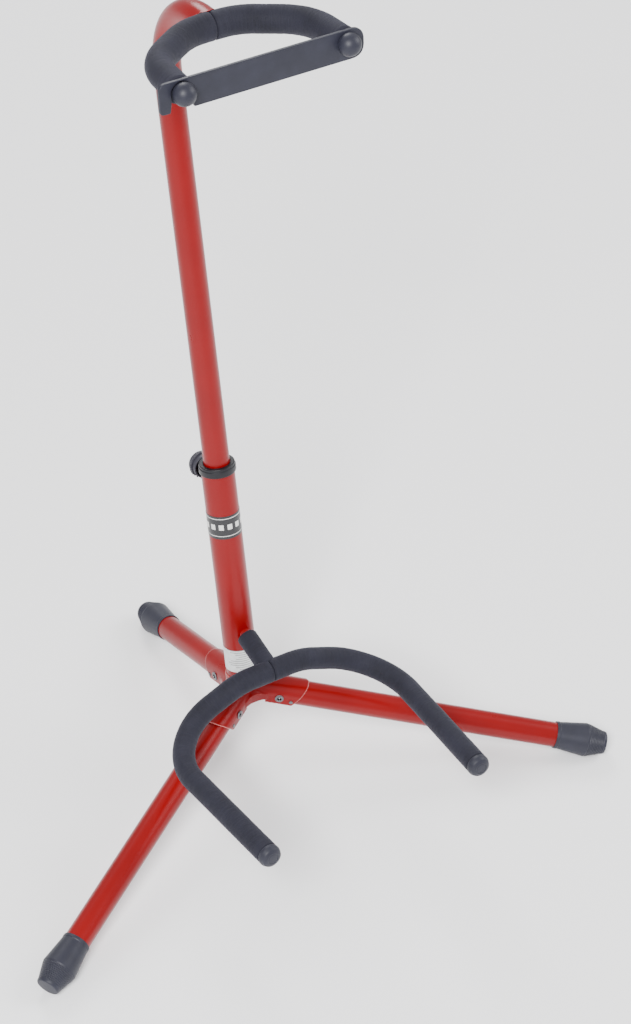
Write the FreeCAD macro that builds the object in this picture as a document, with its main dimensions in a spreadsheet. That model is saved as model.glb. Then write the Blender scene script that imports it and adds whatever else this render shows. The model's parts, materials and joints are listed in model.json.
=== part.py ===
import FreeCAD, Part
import math
import os
import re
import Sketcher
from FreeCAD import Placement, Rotation, Vector

# Tripod guitar stand, in millimetres.  +Z is up and -Y is the front, where the guitar rests.
# X = 0 is the plane of symmetry.  The origin lies on the floor, in the middle of the box
# round the whole stand.  The pieces are laid out in these frames:
#   HUB    where the leg axes meet, its +Z tipped back from upright
#   MAST   the same point, its +Z up along the leaning tubes, its -Y forwards
#   YOKE   the middle of the neck yoke, its +Z forwards along the arms, its +Y up
#   STEM   on the tube's axis, its +Z forwards along the stem of the cradle
#   leg_frame(side)   the hub's point, +Z out along that leg, +X above it, +Y along its pivot

SIZES = [
    # alias, value, meaning
    ("hub_height", 76.0, "leg axes meet this far above the floor"),
    ("hub_tilt", 6.0, "hub tipped back from level, degrees"),
    ("tube_lean", 13.8, "tubes leaning back from upright, degrees"),
    ("leg_slope", 14.7, "leg axes falling away from the hub, degrees"),
    ("leg_spread", 60.5, "front legs turned from straight ahead, degrees"),
    ("leg_dia", 22.0, "leg tube, outside"),
    ("leg_wall", 1.2, "leg tube wall"),
    ("pivot_reach", 30.7, "hub centre to leg pivot, along the leg"),
    ("pivot_dia", 5.0, "shank of a pivot rivet"),
    ("pivot_bore", 3.0, "hole through a pivot rivet"),
    ("pivot_head_dia", 7.6, "rolled head of a pivot rivet"),
    ("pivot_head", 1.0, "height of a pivot rivet's head"),
    ("hub_sheet", 1.5, "steel sheet of the hub"),
    ("channel_gap", 0.3, "free space round a leg in its channel"),
    ("channel_reach", 55.0, "hub centre to the top of a channel's end"),
    ("channel_skirt", 6.8, "channel side below the leg axis"),
    ("channel_rake", 31.0, "slant of a channel's end, degrees"),
    ("web_radius", 30.0, "hollow curve between two channels"),
    ("web_skirt", 8.0, "web below the hub centre"),
    ("web_slope", 33.0, "top of the web falling outwards, degrees"),
    ("detent_reach", 41.5, "hub centre to a leg's detent rivets"),
    ("detent_drop", 2.4, "detent rivets below the leg axis"),
    ("detent_dia", 2.4, "shank of a detent rivet"),
    ("detent_head_dia", 3.6, "head of a detent rivet"),
    ("detent_head", 0.6, "height of a detent rivet's head"),
    ("crown_height", 14.0, "hub centre to the tube's seat"),
    ("crown_rim", 1.2, "crown standing out round the tube"),
    ("foot_rim_wall", 0.9, "rubber round the leg where the foot starts"),
    ("foot_wide_wall", 3.8, "foot standing out from the leg at its widest"),
    ("foot_end_dia", 19.6, "flat end of the foot"),
    ("foot_skirt", 28.0, "rim to the widest ring"),
    ("foot_nose", 18.0, "widest ring to the end"),
    ("foot_grip", 24.0, "depth of the leg in the foot"),
    ("foot_press", 0.6, "depth worn flat where the foot stands"),
    ("lower_dia", 28.0, "lower tube, outside"),
    ("lower_wall", 1.3, "lower tube wall"),
    ("upper_dia", 22.0, "upper tube, outside"),
    ("upper_wall", 1.2, "upper tube wall"),
    ("slide_gap", 0.06, "running gap of the telescoping pieces"),
    ("base_plug_height", 16.0, "plug pressed in the foot of the lower tube"),
    ("hub_bolt_dia", 6.0, "bolt from the hub into the base plug"),
    ("hub_bolt_reach", 13.0, "bolt inside the base plug"),
    ("hub_bolt_head_dia", 10.0, "head of the hub bolt, across its flats"),
    ("hub_bolt_head", 4.0, "height of the hub bolt's head"),
    ("hub_washer_dia", 15.0, "washer under the hub bolt"),
    ("hub_washer", 1.4, "thickness of that washer"),
    ("collar_top", 220.0, "hub centre to the top of the collar"),
    ("collar_height", 8.0, "height of the collar"),
    ("collar_wall", 1.5, "collar standing out round the lower tube"),
    ("collar_lip", 2.0, "collar over the end of the lower tube"),
    ("bush_height", 34.0, "guide bush inside the lower tube"),
    ("clamp_level", 205.0, "hub centre to the clamp screw, up the tube"),
    ("boss_dia", 13.0, "threaded boss"),
    ("boss_height", 6.5, "boss standing off the lower tube"),
    ("screw_dia", 6.0, "clamp screw"),
    ("screw_gap", 0.05, "running gap round the screw"),
    ("pad_dia", 6.0, "pressure pad at the tip of the screw"),
    ("pad_height", 1.6, "thickness of the pressure pad"),
    ("pad_gap", 0.3, "pad to upper tube with the clamp eased"),
    ("knob_set", 2.0, "boss to clamp knob"),
    ("knob_dia", 22.0, "clamp knob over its ribs"),
    ("knob_height", 11.0, "clamp knob, front to back"),
    ("knob_wall", 2.2, "rim of the clamp knob"),
    ("knob_core_dia", 10.0, "core of the clamp knob round the screw"),
    ("knob_face", 3.0, "thickness of the clamp knob's face"),
    ("rib_dia", 1.8, "groove between two ribs of the knob"),
    ("rib_count", 24, "ribs round the knob"),
    ("label_level", 153.5, "hub centre to the lower edge of the label"),
    ("label_height", 21.5, "height of the label"),
    ("sticker_level", 20.5, "hub centre to the lower edge of the sticker"),
    ("sticker_height", 22.0, "height of the sticker"),
    ("sticker_wrap", 215.0, "sticker round the tube, degrees"),
    ("film", 0.2, "thickness of the label and the sticker"),
    ("plug_level", 86.0, "hub centre to the foot of the mast plug"),
    ("plug_flange", 3.0, "each flange of the mast plug"),
    ("plug_grip", 22.0, "mast plug inside the upper tube"),
    ("glide_height", 9.0, "glide ring"),
    ("glide_groove_dia", 16.0, "groove of the glide ring"),
    ("glide_gap", 0.15, "end gap of the glide ring"),
    ("bend_level", 560.0, "hub centre to the start of the bend"),
    ("bend_radius", 62.0, "bend of the upper tube"),
    ("bend_turn", 96.4, "turn of the upper tube, degrees"),
    ("yoke_offset", 14.0, "end of the bend to the centre of the yoke"),
    ("yoke_flat", 21.0, "yoke centre to its first bend"),
    ("yoke_corner", 64.5, "yoke centre to its corner, sideways"),
    ("yoke_corner_ahead", 31.0, "yoke centre to its corner, forwards"),
    ("yoke_half", 67.0, "yoke centre to a knob, sideways"),
    ("yoke_reach", 82.5, "yoke centre to a knob, forwards"),
    ("yoke_radius", 43.0, "bends of the yoke"),
    ("rod_dia", 10.0, "steel rod of the yoke and the cradle"),
    ("neck_foam_dia", 21.8, "foam of the neck yoke"),
    ("neck_stub_dia", 12.0, "stub between the tube and the yoke"),
    ("neck_stub_grip", 12.0, "stub inside the upper tube"),
    ("knob_ball_dia", 17.6, "ball of a neck knob"),
    ("knob_neck_dia", 13.0, "neck of a neck knob"),
    ("knob_cover", 2.5, "rod past the middle of the ball"),
    ("latch_gap", 0.3, "play of the latch bar on its knobs"),
    ("latch_thick", 3.0, "latch bar"),
    ("latch_set", 4.2, "front of the latch bar to the middle of the ball"),
    ("latch_above", 9.4, "latch bar above the knobs"),
    ("latch_below", 14.1, "latch bar below the knobs"),
    ("latch_end", 14.5, "latch bar past its pivot"),
    ("latch_hook", 17.7, "latch bar past its catch"),
    ("latch_round", 11.0, "rounded corners at the pivot end"),
    ("hook_round", 6.0, "rounded corner at the hook end"),
    ("hook_slot", 16.4, "width of the hook's slot"),
    ("stem_level", 63.0, "hub centre to the stem, up the tube"),
    ("stem_length", 58.0, "tube axis to the cradle rod"),
    ("stem_fall", 8.0, "stem falling forwards, degrees"),
    ("stem_foam_dia", 17.5, "foam of the stem"),
    ("stem_foam_start", 17.0, "tube axis to the foam of the stem"),
    ("cradle_flat", 30.0, "cradle centre to its first bend"),
    ("cradle_half", 107.0, "cradle centre to its corner, sideways"),
    ("cradle_corner_ahead", 3.0, "cradle centre to its corner, forwards"),
    ("cradle_drop", 33.0, "cradle centre down to its corner"),
    ("cradle_end_half", 98.5, "cradle centre to an end, sideways"),
    ("cradle_reach", 166.0, "cradle centre to an end, forwards"),
    ("cradle_end_drop", 8.0, "cradle centre down to an end"),
    ("shoulder_radius", 60.0, "first bends of the cradle"),
    ("corner_radius", 50.0, "corner bends of the cradle"),
    ("cradle_foam_dia", 19.2, "foam of the cradle"),
    ("cap_length", 8.0, "rubber cap beyond the foam"),
    ("cap_depth", 4.5, "rod inside a rubber cap"),
    ("cap_round", 5.0, "rounding of a rubber cap"),
]

doc = FreeCAD.newDocument("guitar_stand")
sheet = doc.addObject("Spreadsheet::Sheet", "Sizes")
for row, (alias, number, meaning) in enumerate(SIZES, start=1):
    sheet.set(f"A{row}", meaning)
    sheet.set(f"B{row}", str(number))
    sheet.setAlias(f"B{row}", alias)
doc.recompute()

ALIASES = {alias for alias, number, meaning in SIZES}
SIDES = ("front_left", "front_right", "rear")
PIECES = []


class Numbers:
    """The driving dimensions as plain numbers, for places and angles."""

    def __getattr__(self, alias):
        return float(sheet.get(alias))


S = Numbers()


# ---------------------------------------------------------------- helpers

def in_sheet(formula):
    """A formula with its names pointing into the sheet."""
    return re.sub(r"[a-z_]+", lambda m: f"Sizes.{m[0]}" if m[0] in ALIASES else m[0], formula)


def bind(target, prop, formula):
    target.setExpression(prop, in_sheet(formula))


def worth(formula):
    """What a formula of sheet names comes to."""
    return float(sheet.evalExpression(in_sheet(formula)))


def piece(label, item):
    """Register a finished piece under the name of its file."""
    item.Label = label
    PIECES.append(item)
    return item


def up(level, forward=0.0, sideways=0.0):
    """A shift inside a frame, up its Z axis, against its Y axis and along its X axis."""
    return Placement(Vector(sideways, -forward, level), Rotation())


def facing(point, direction):
    """A frame at a point, its +Z turned to a direction."""
    return Placement(point, Rotation(Vector(0, 0, 1), direction))


def rod(name, dia, height, place):
    """A cylinder of bound diameter and height, standing on its frame's origin."""
    item = doc.addObject("Part::Cylinder", name)
    bind(item, "Radius", f"({dia}) / 2")
    bind(item, "Height", height)
    item.Placement = place
    return item


def block(name, sides, low, place):
    """A box of bound sides, its lowest corner placed inside its frame."""
    item = doc.addObject("Part::Box", name)
    for prop, formula in zip(("Length", "Width", "Height"), sides):
        bind(item, prop, formula)
    item.Placement = place.multiply(Placement(low, Rotation()))
    return item


def fuse(name, *shapes):
    item = doc.addObject("Part::MultiFuse", name)
    item.Shapes = list(shapes)
    return item


def common(name, *shapes):
    item = doc.addObject("Part::MultiCommon", name)
    item.Shapes = list(shapes)
    return item


def cut(name, base, *tools):
    item = doc.addObject("Part::Cut", name)
    item.Base = base
    item.Tool = tools[0] if len(tools) == 1 else fuse(f"{name}_tools", *tools)
    return item


def tube(name, outer, inner, height, place):
    """A straight tube of bound diameters."""
    outside = rod(f"{name}_outside", outer, height, place)
    return cut(name, outside, rod(f"{name}_inside", inner, height, place))


def ball(name, dia, place):
    item = doc.addObject("Part::Sphere", name)
    bind(item, "Radius", f"({dia}) / 2")
    item.Placement = place
    return item


def cross_rod(name, dia, half, place):
    """A cylinder lying along its frame's Y axis, its middle on the origin."""
    middle = place.multiply(Placement(Vector(0, -worth(half), 0), Rotation(Vector(1, 0, 0), -90)))
    return rod(name, dia, f"2 * ({half})", middle)


def turned(name, corners, place):
    """A body turned about Z from (radius, level) corners, each bound to a formula."""
    body = doc.addObject("PartDesign::Body", name)
    sketch = body.newObject("Sketcher::SketchObject", f"{name}_profile")
    plane = next(item for item in body.Origin.OriginFeatures if item.Role == "XZ_Plane")
    sketch.AttachmentSupport = (plane, "")
    sketch.MapMode = "FlatFace"
    guides = [Vector(worth(radius), worth(level), 0) for radius, level in corners]
    for start, end in zip(guides, guides[1:] + guides[:1]):
        sketch.addGeometry(Part.LineSegment(start, end), False)
    for number, (radius, level) in enumerate(corners):
        before = (number - 1) % len(corners)
        sketch.addConstraint(Sketcher.Constraint("Coincident", before, 2, number, 1))
        place_corner(sketch, number, "DistanceX", radius, -2)
        place_corner(sketch, number, "DistanceY", level, -1)
    spin = body.newObject("PartDesign::Revolution", f"{name}_turn")
    spin.Profile = sketch
    spin.ReferenceAxis = (sketch, ["V_Axis"])
    spin.Angle = 360
    body.Placement = place
    return body


def place_corner(sketch, number, kind, formula, axis):
    """Hold one coordinate of a sketch corner: on an axis, or at a bound distance."""
    if formula == "0":
        sketch.addConstraint(Sketcher.Constraint("PointOnObject", number, 1, axis))
        return
    spot = sketch.addConstraint(Sketcher.Constraint(kind, -1, 1, number, 1, worth(formula)))
    bind(sketch, f"Constraints[{spot}]", formula)


def rounded_path(name, corners, radii):
    """A wire of straight runs and tangent arcs, with one radius for each inner corner."""
    edges = []
    start = corners[0]
    for before, corner, after, radius in zip(corners, corners[1:], corners[2:], radii):
        back = (before - corner).normalize()
        ahead = (after - corner).normalize()
        half_open = back.getAngle(ahead) / 2
        setback = radius / math.tan(half_open)
        middle = (back + ahead).normalize()
        crown = corner + middle * (radius / math.sin(half_open) - radius)
        edges.append(Part.LineSegment(start, corner + back * setback).toShape())
        arc = Part.Arc(corner + back * setback, crown, corner + ahead * setback)
        edges.append(arc.toShape())
        start = corner + ahead * setback
    edges.append(Part.LineSegment(start, corners[-1]).toShape())
    return path_of(name, edges)


def path_of(name, edges):
    path = doc.addObject("Part::Feature", name)
    path.Shape = Part.Wire(edges)
    return path


def swept(name, path, dia):
    """A round bar of bound diameter along a path."""
    first = path.Shape.Edges[0]
    start = first.FirstParameter
    ring = doc.addObject("Part::Circle", f"{name}_ring")
    bind(ring, "Radius", f"({dia}) / 2")
    ring.Placement = facing(first.valueAt(start), first.tangentAt(start))
    bar = doc.addObject("Part::Sweep", name)
    bar.Sections = [ring]
    bar.Spine = (path, [f"Edge{number + 1}" for number in range(len(path.Shape.Edges))])
    bar.Solid = True
    bar.Frenet = False
    return bar


def rounded(name, base, radius, wanted):
    """Round the edges of a piece that a test picks."""
    doc.recompute()
    item = doc.addObject("Part::Fillet", name)
    item.Base = base
    picked = [n for n, edge in enumerate(base.Shape.Edges, start=1) if wanted(edge)]
    item.Edges = [(number, radius, radius) for number in picked]
    return item


# ---------------------------------------------------------------- frames

HUB = Placement(Vector(0, 0, S.hub_height), Rotation(Vector(1, 0, 0), -S.hub_tilt))
MAST = Placement(Vector(0, 0, S.hub_height), Rotation(Vector(1, 0, 0), -S.tube_lean))

# turn of each leg about the hub, counted from straight back
LEG_TURNS = {
    "front_left": 180 - S.leg_spread,
    "front_right": 180 + S.leg_spread,
    "rear": 0.0,
}


def leg_frame(side):
    """+Z out along the leg, +X above it, +Y along its pivot."""
    tilt = Rotation(Vector(1, 0, 0), -(90 + S.leg_slope))
    roof_up = Rotation(Vector(0, 0, 1), -90)
    turn = Rotation(Vector(0, 0, 1), LEG_TURNS[side])
    return HUB.multiply(Placement(Vector(), turn.multiply(tilt).multiply(roof_up)))


bend_turn = math.radians(S.bend_turn)
bend_end = Vector(
    0,
    -S.bend_radius * (1 - math.cos(bend_turn)),
    S.bend_level + S.bend_radius * math.sin(bend_turn),
)
bend_heading = Vector(0, -math.sin(bend_turn), math.cos(bend_turn))
yoke_middle = bend_end + bend_heading * S.yoke_offset
YOKE = MAST.multiply(Placement(yoke_middle, Rotation(Vector(1, 0, 0), S.bend_turn)))

stem_root = MAST.multVec(Vector(0, 0, S.stem_level))
STEM = Placement(stem_root, Rotation(Vector(1, 0, 0), 90 + S.stem_fall))
cradle_middle = STEM.multVec(Vector(0, 0, S.stem_length))

# ---------------------------------------------------------------- hub

CHANNEL_OUT = "leg_dia + 2 * channel_gap + 2 * hub_sheet"
CHANNEL_IN = "leg_dia + 2 * channel_gap"
CHANNEL_SIDE = "leg_dia / 2 + channel_gap + hub_sheet"
WEB_CENTRE = (worth(CHANNEL_SIDE) + S.web_radius) / math.sin(math.radians(60))


def channel_solid(name, side, width, skirt, start, reach):
    """A bar with a round top and straight sides, lying along a leg."""
    frame = leg_frame(side)
    roof = rod(f"{name}_roof", width, f"{reach} - ({start})", frame.multiply(up(worth(start))))
    low = Vector(-worth(skirt), -worth(width) / 2, worth(start))
    sides = block(f"{name}_sides", (skirt, width, f"{reach} - ({start})"), low, frame)
    return fuse(name, roof, sides)


def rake_block(side):
    """Trims a channel's end, longer at its top than at its skirt."""
    slant = Rotation(Vector(0, 1, 0), -S.channel_rake)
    top = Placement(Vector(worth(CHANNEL_SIDE), 0, S.channel_reach), slant)
    low = Vector(-2 * S.channel_reach, -S.channel_reach, 0)
    sides = ("3 * channel_reach", "2 * channel_reach", "channel_reach")
    return block(f"{side}_rake", sides, low, leg_frame(side).multiply(top))


def web_solid(name, inset, skirt):
    """The hollow-sided dome between the channels; inset by the sheet for its inside."""
    fall = math.radians(S.web_slope)
    peak = worth(CHANNEL_SIDE) - inset / math.cos(fall)
    dome = doc.addObject("Part::Cone", f"{name}_dome")
    dome.Radius1 = (peak + skirt) / math.tan(fall)
    dome.Radius2 = 0
    dome.Height = peak + skirt
    dome.Placement = HUB.multiply(up(-skirt))
    keep_dia = 2 * (WEB_CENTRE - S.web_radius * math.sin(math.radians(60)) - inset)
    keep = rod(f"{name}_keep", f"{keep_dia}", f"{peak + skirt}", HUB.multiply(up(-skirt)))
    hollows = []
    for number, turn in enumerate((0, 120, 240)):
        away = Rotation(Vector(0, 0, 1), turn).multVec(Vector(0, -WEB_CENTRE, -S.hub_height))
        place = HUB.multiply(Placement(away, Rotation()))
        dia = f"2 * web_radius + {2 * inset}"
        hollows.append(rod(f"{name}_hollow_{number}", dia, "2 * hub_height", place))
    return cut(name, common(f"{name}_blank", dome, keep), *hollows)


def rivet_place(side, reach, drop):
    return leg_frame(side).multiply(Placement(Vector(-drop, 0, reach), Rotation()))


def make_hub():
    crown_dia = "lower_dia + 2 * crown_rim"
    outside = [web_solid("web_outside", 0, S.web_skirt)]
    inside = [web_solid("web_inside", S.hub_sheet, 2 * S.web_skirt)]
    trims = [rod("hub_bolt_hole", "hub_bolt_dia", "2 * crown_height", MAST)]
    for side in SIDES:
        outside.append(
            channel_solid(f"{side}_channel", side, CHANNEL_OUT, "channel_skirt", "0", "channel_reach")
        )
        deep = "3 * channel_skirt"
        inside.append(channel_solid(f"{side}_cavity", side, CHANNEL_IN, deep, "0", "2 * channel_reach"))
        trims.append(rake_block(side))
        pivot = rivet_place(side, S.pivot_reach, 0)
        detent = rivet_place(side, S.detent_reach, S.detent_drop)
        trims.append(cross_rod(f"{side}_pivot_hole", "pivot_dia", CHANNEL_OUT, pivot))
        trims.append(cross_rod(f"{side}_detent_hole", "detent_dia", CHANNEL_OUT, detent))
    outside.append(rod("crown_outside", crown_dia, "crown_height", MAST))
    inside.append(rod("crown_inside", f"{crown_dia} - 2 * hub_sheet", "crown_height - hub_sheet", MAST))
    shell = cut("hub_shell", fuse("hub_outside", *outside), fuse("hub_inside", *inside))
    piece("hub", cut("hub_trimmed", shell, *trims))


def make_hub_fasteners():
    """Hollow pivot rivets and small detent rivets, one of each sort per channel side."""
    pivots = []
    detents = []
    half = worth(CHANNEL_SIDE)
    for side in SIDES:
        place = rivet_place(side, S.pivot_reach, 0)
        shank = cross_rod(f"{side}_pivot_shank", "pivot_dia", CHANNEL_SIDE, place)
        heads = cross_rod(f"{side}_pivot_heads", "pivot_head_dia", f"{CHANNEL_SIDE} + pivot_head", place)
        between = cross_rod(f"{side}_pivot_between", "2 * pivot_head_dia", CHANNEL_SIDE, place)
        bore = cross_rod(f"{side}_pivot_bore", "pivot_bore", CHANNEL_OUT, place)
        rims = cut(f"{side}_pivot_rims", heads, between)
        pivots.append(cut(f"{side}_pivot_rivet", fuse(f"{side}_pivot_solid", shank, rims), bore))
        place = rivet_place(side, S.detent_reach, S.detent_drop)
        for mark, sense in (("a", 1), ("b", -1)):
            turn = Rotation(Vector(1, 0, 0), -90 * sense)
            wall = Placement(Vector(0, sense * (half - S.hub_sheet), 0), turn)
            face = Placement(Vector(0, sense * half, 0), turn)
            stem = rod(f"{side}_detent_{mark}_shank", "detent_dia", "hub_sheet", place.multiply(wall))
            cap = rod(f"{side}_detent_{mark}_head", "detent_head_dia", "detent_head", place.multiply(face))
            detents.append(fuse(f"{side}_detent_{mark}", stem, cap))
    piece("leg_pivot_rivets", group("pivot_rivets", pivots))
    piece("leg_detent_rivets", group("detent_rivets", detents))


def group(name, items):
    """Separate solids kept in one node."""
    item = doc.addObject("Part::Compound", name)
    item.Links = items
    return item


# ---------------------------------------------------------------- legs

def foot_start(side):
    """How far out along its leg a foot's rim is, so that the foot presses on the floor."""
    fall = math.asin(-leg_frame(side).Rotation.multVec(Vector(0, 0, 1)).z)
    depth = S.hub_height + S.foot_press
    to_wide = (depth - (S.leg_dia / 2 + S.foot_wide_wall) * math.cos(fall)) / math.sin(fall)
    to_end = (depth - S.foot_end_dia / 2 * math.cos(fall)) / math.sin(fall) - S.foot_nose
    return min(to_wide, to_end) - S.foot_skirt


def make_leg(side):
    frame = leg_frame(side)
    inner_end = S.pivot_reach - S.leg_dia / 2
    leg_length = f"{foot_start(side) - inner_end} + foot_grip"
    start = frame.multiply(up(inner_end))
    pipe = tube(f"{side}_pipe", "leg_dia", "leg_dia - 2 * leg_wall", leg_length, start)
    pivot = rivet_place(side, S.pivot_reach, 0)
    # the inner end is rounded all ways, so that it turns inside the arch of its channel
    round_end = ball(f"{side}_round_end", "leg_dia", pivot)
    low = Vector(-S.leg_dia, -S.leg_dia, S.pivot_reach)
    straight = block(f"{side}_straight", ("2 * leg_dia", "2 * leg_dia", leg_length), low, frame)
    shape = common(f"{side}_ended", pipe, fuse(f"{side}_end_form", round_end, straight))
    hole = cross_rod(f"{side}_leg_hole", "pivot_dia + 2 * slide_gap", "leg_dia", pivot)
    piece(f"{side}_leg", cut(f"{side}_leg_drilled", shape, hole))

    rubber = turned(f"{side}_rubber", [
        ("leg_dia / 2", "0"),
        ("leg_dia / 2 + foot_rim_wall", "0"),
        ("leg_dia / 2 + foot_wide_wall", "foot_skirt"),
        ("foot_end_dia / 2", "foot_skirt + foot_nose"),
        ("0", "foot_skirt + foot_nose"),
        ("0", "foot_grip"),
        ("leg_dia / 2", "foot_grip"),
    ], frame.multiply(up(foot_start(side))))
    far = 20 * S.hub_height
    floor = block(f"{side}_floor", ("40 * hub_height", "40 * hub_height", "hub_height"),
                  Vector(-far, -far, -S.hub_height), Placement())
    piece(f"{side}_foot", cut(f"{side}_foot_flat", rubber, floor))


# ---------------------------------------------------------------- lower tube

LOWER_BORE = "lower_dia - 2 * lower_wall"
BUSH_BORE = "upper_dia + 2 * slide_gap"


def clamp_frame(off_axis):
    """On the clamp screw's axis, its +Z pointing away from the tube towards the rear."""
    point = MAST.multVec(Vector(0, off_axis, S.clamp_level))
    return facing(point, MAST.Rotation.multVec(Vector(0, 1, 0)))


def make_lower_tube():
    seat = MAST.multiply(up(S.crown_height))
    reach = "collar_top - collar_lip - crown_height"
    pipe = tube("lower_pipe", "lower_dia", LOWER_BORE, reach, seat)
    hole = rod("pad_hole_lower", "pad_dia + 2 * slide_gap", "lower_dia", clamp_frame(0))
    piece("lower_tube", cut("lower_tube_drilled", pipe, hole))

    plug = turned("base_plug_turned", [
        ("hub_bolt_dia / 2", "0"),
        (f"({LOWER_BORE}) / 2", "0"),
        (f"({LOWER_BORE}) / 2", "base_plug_height"),
        ("0", "base_plug_height"),
        ("0", "hub_bolt_reach"),
        ("hub_bolt_dia / 2", "hub_bolt_reach"),
    ], seat)
    piece("base_plug", plug)

    under = S.crown_height - S.hub_sheet
    washer = MAST.multiply(up(under - S.hub_washer))
    piece("hub_washer", tube("washer", "hub_washer_dia", "hub_bolt_dia", "hub_washer", washer))
    head_place = MAST.multiply(up(under - S.hub_washer - S.hub_bolt_head))
    head = doc.addObject("Part::Prism", "hub_bolt_hexagon")
    head.Polygon = 6
    bind(head, "Circumradius", "hub_bolt_head_dia / sqrt(3)")
    bind(head, "Height", "hub_bolt_head")
    head.Placement = head_place
    shank_length = "hub_bolt_head + hub_washer + hub_sheet + hub_bolt_reach"
    shank = rod("hub_bolt_shank", "hub_bolt_dia", shank_length, head_place)
    piece("hub_bolt", fuse("hub_bolt_whole", head, shank))


def make_collar():
    """Collar, guide bush and threaded boss at the top of the lower tube."""
    base = MAST.multiply(up(S.collar_top - S.collar_height))
    ring = turned("collar_turned", [
        ("lower_dia / 2", "0"),
        ("lower_dia / 2 + collar_wall", "0"),
        ("lower_dia / 2 + collar_wall", "collar_height"),
        ("upper_dia / 2 + channel_gap", "collar_height"),
        ("upper_dia / 2 + channel_gap", "collar_height - collar_lip"),
        ("lower_dia / 2", "collar_height - collar_lip"),
    ], base)
    piece("collar", ring)

    top = S.collar_top - S.collar_lip
    bush = tube("bush", LOWER_BORE, BUSH_BORE, "bush_height", MAST.multiply(up(top - S.bush_height)))
    hole = rod("pad_hole_bush", "pad_dia + 2 * slide_gap", "lower_dia", clamp_frame(0))
    piece("guide_bush", cut("guide_bush_drilled", bush, hole))

    boss_start = S.lower_dia / 2 - S.lower_wall
    bore = "screw_dia + 2 * screw_gap"
    boss = tube("boss", "boss_dia", bore, "boss_height + lower_wall", clamp_frame(boss_start))
    round_tube = rod("boss_saddle", "lower_dia", "collar_top", MAST)
    piece("clamp_boss", cut("clamp_boss_saddled", boss, round_tube))


def make_label(label, level, height, wrap):
    """A film round the lower tube, centred on its front."""
    turn = Rotation(Vector(0, 0, 1), -90 - wrap / 2)
    place = MAST.multiply(Placement(Vector(0, 0, level), turn))
    shells = []
    for name, dia in (("outer", "lower_dia + 2 * film"), ("inner", "lower_dia")):
        shell = rod(f"{label}_{name}", dia, height, place)
        shell.Angle = wrap
        shells.append(shell)
    piece(label, cut(f"{label}_film", *shells))


# ---------------------------------------------------------------- clamp

def make_clamp():
    pad_start = S.upper_dia / 2 + S.pad_gap
    screw_start = pad_start + S.pad_height
    knob_start = S.lower_dia / 2 + S.boss_height + S.knob_set
    piece("clamp_pad", rod("pad_disc", "pad_dia", "pad_height", clamp_frame(pad_start)))
    screw_length = f"{knob_start - screw_start} + knob_height - knob_face"
    piece("clamp_screw", rod("screw_bar", "screw_dia", screw_length, clamp_frame(screw_start)))

    cup = turned("knob_cup", [
        ("screw_dia / 2", "0"),
        ("knob_core_dia / 2", "0"),
        ("knob_core_dia / 2", "knob_height - knob_face"),
        ("knob_dia / 2 - knob_wall", "knob_height - knob_face"),
        ("knob_dia / 2 - knob_wall", "0"),
        ("knob_dia / 2", "0"),
        ("knob_dia / 2", "knob_height"),
        ("0", "knob_height"),
        ("0", "knob_height - knob_face"),
        ("screw_dia / 2", "knob_height - knob_face"),
    ], clamp_frame(knob_start))
    groove = cup.newObject("Sketcher::SketchObject", "knob_groove")
    plane = next(item for item in cup.Origin.OriginFeatures if item.Role == "XY_Plane")
    groove.AttachmentSupport = (plane, "")
    groove.MapMode = "FlatFace"
    groove.addGeometry(Part.Circle(Vector(S.knob_dia / 2, 0, 0), Vector(0, 0, 1), S.rib_dia / 2), False)
    groove.addConstraint(Sketcher.Constraint("PointOnObject", 0, 3, -1))
    spot = groove.addConstraint(Sketcher.Constraint("DistanceX", -1, 1, 0, 3, S.knob_dia / 2))
    bind(groove, f"Constraints[{spot}]", "knob_dia / 2")
    spot = groove.addConstraint(Sketcher.Constraint("Radius", 0, S.rib_dia / 2))
    bind(groove, f"Constraints[{spot}]", "rib_dia / 2")
    pocket = cup.newObject("PartDesign::Pocket", "knob_groove_cut")
    pocket.Profile = groove
    pocket.Type = "ThroughAll"
    pocket.Midplane = True
    doc.recompute()
    ribs = cup.newObject("PartDesign::PolarPattern", "knob_ribs")
    ribs.Originals = [pocket]
    ribs.Axis = (groove, ["N_Axis"])
    ribs.Angle = 360
    ribs.Occurrences = int(S.rib_count)
    cup.Tip = ribs
    piece("clamp_knob", cup)


# ---------------------------------------------------------------- cradle

def cradle_path(name, senses):
    """Along one arm of the cradle, or along both when two senses are given."""
    def corners(sense):
        middle = cradle_middle
        return [
            middle + Vector(sense * S.cradle_flat, 0, 0),
            middle + Vector(sense * S.cradle_half, -S.cradle_corner_ahead, -S.cradle_drop),
            middle + Vector(sense * S.cradle_end_half, -S.cradle_reach, -S.cradle_end_drop),
        ]
    radii = [S.shoulder_radius, S.corner_radius]
    if len(senses) == 1:
        return rounded_path(name, [cradle_middle] + corners(senses[0]), radii)
    return rounded_path(name, corners(-1)[::-1] + corners(1), radii[::-1] + radii)


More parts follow.
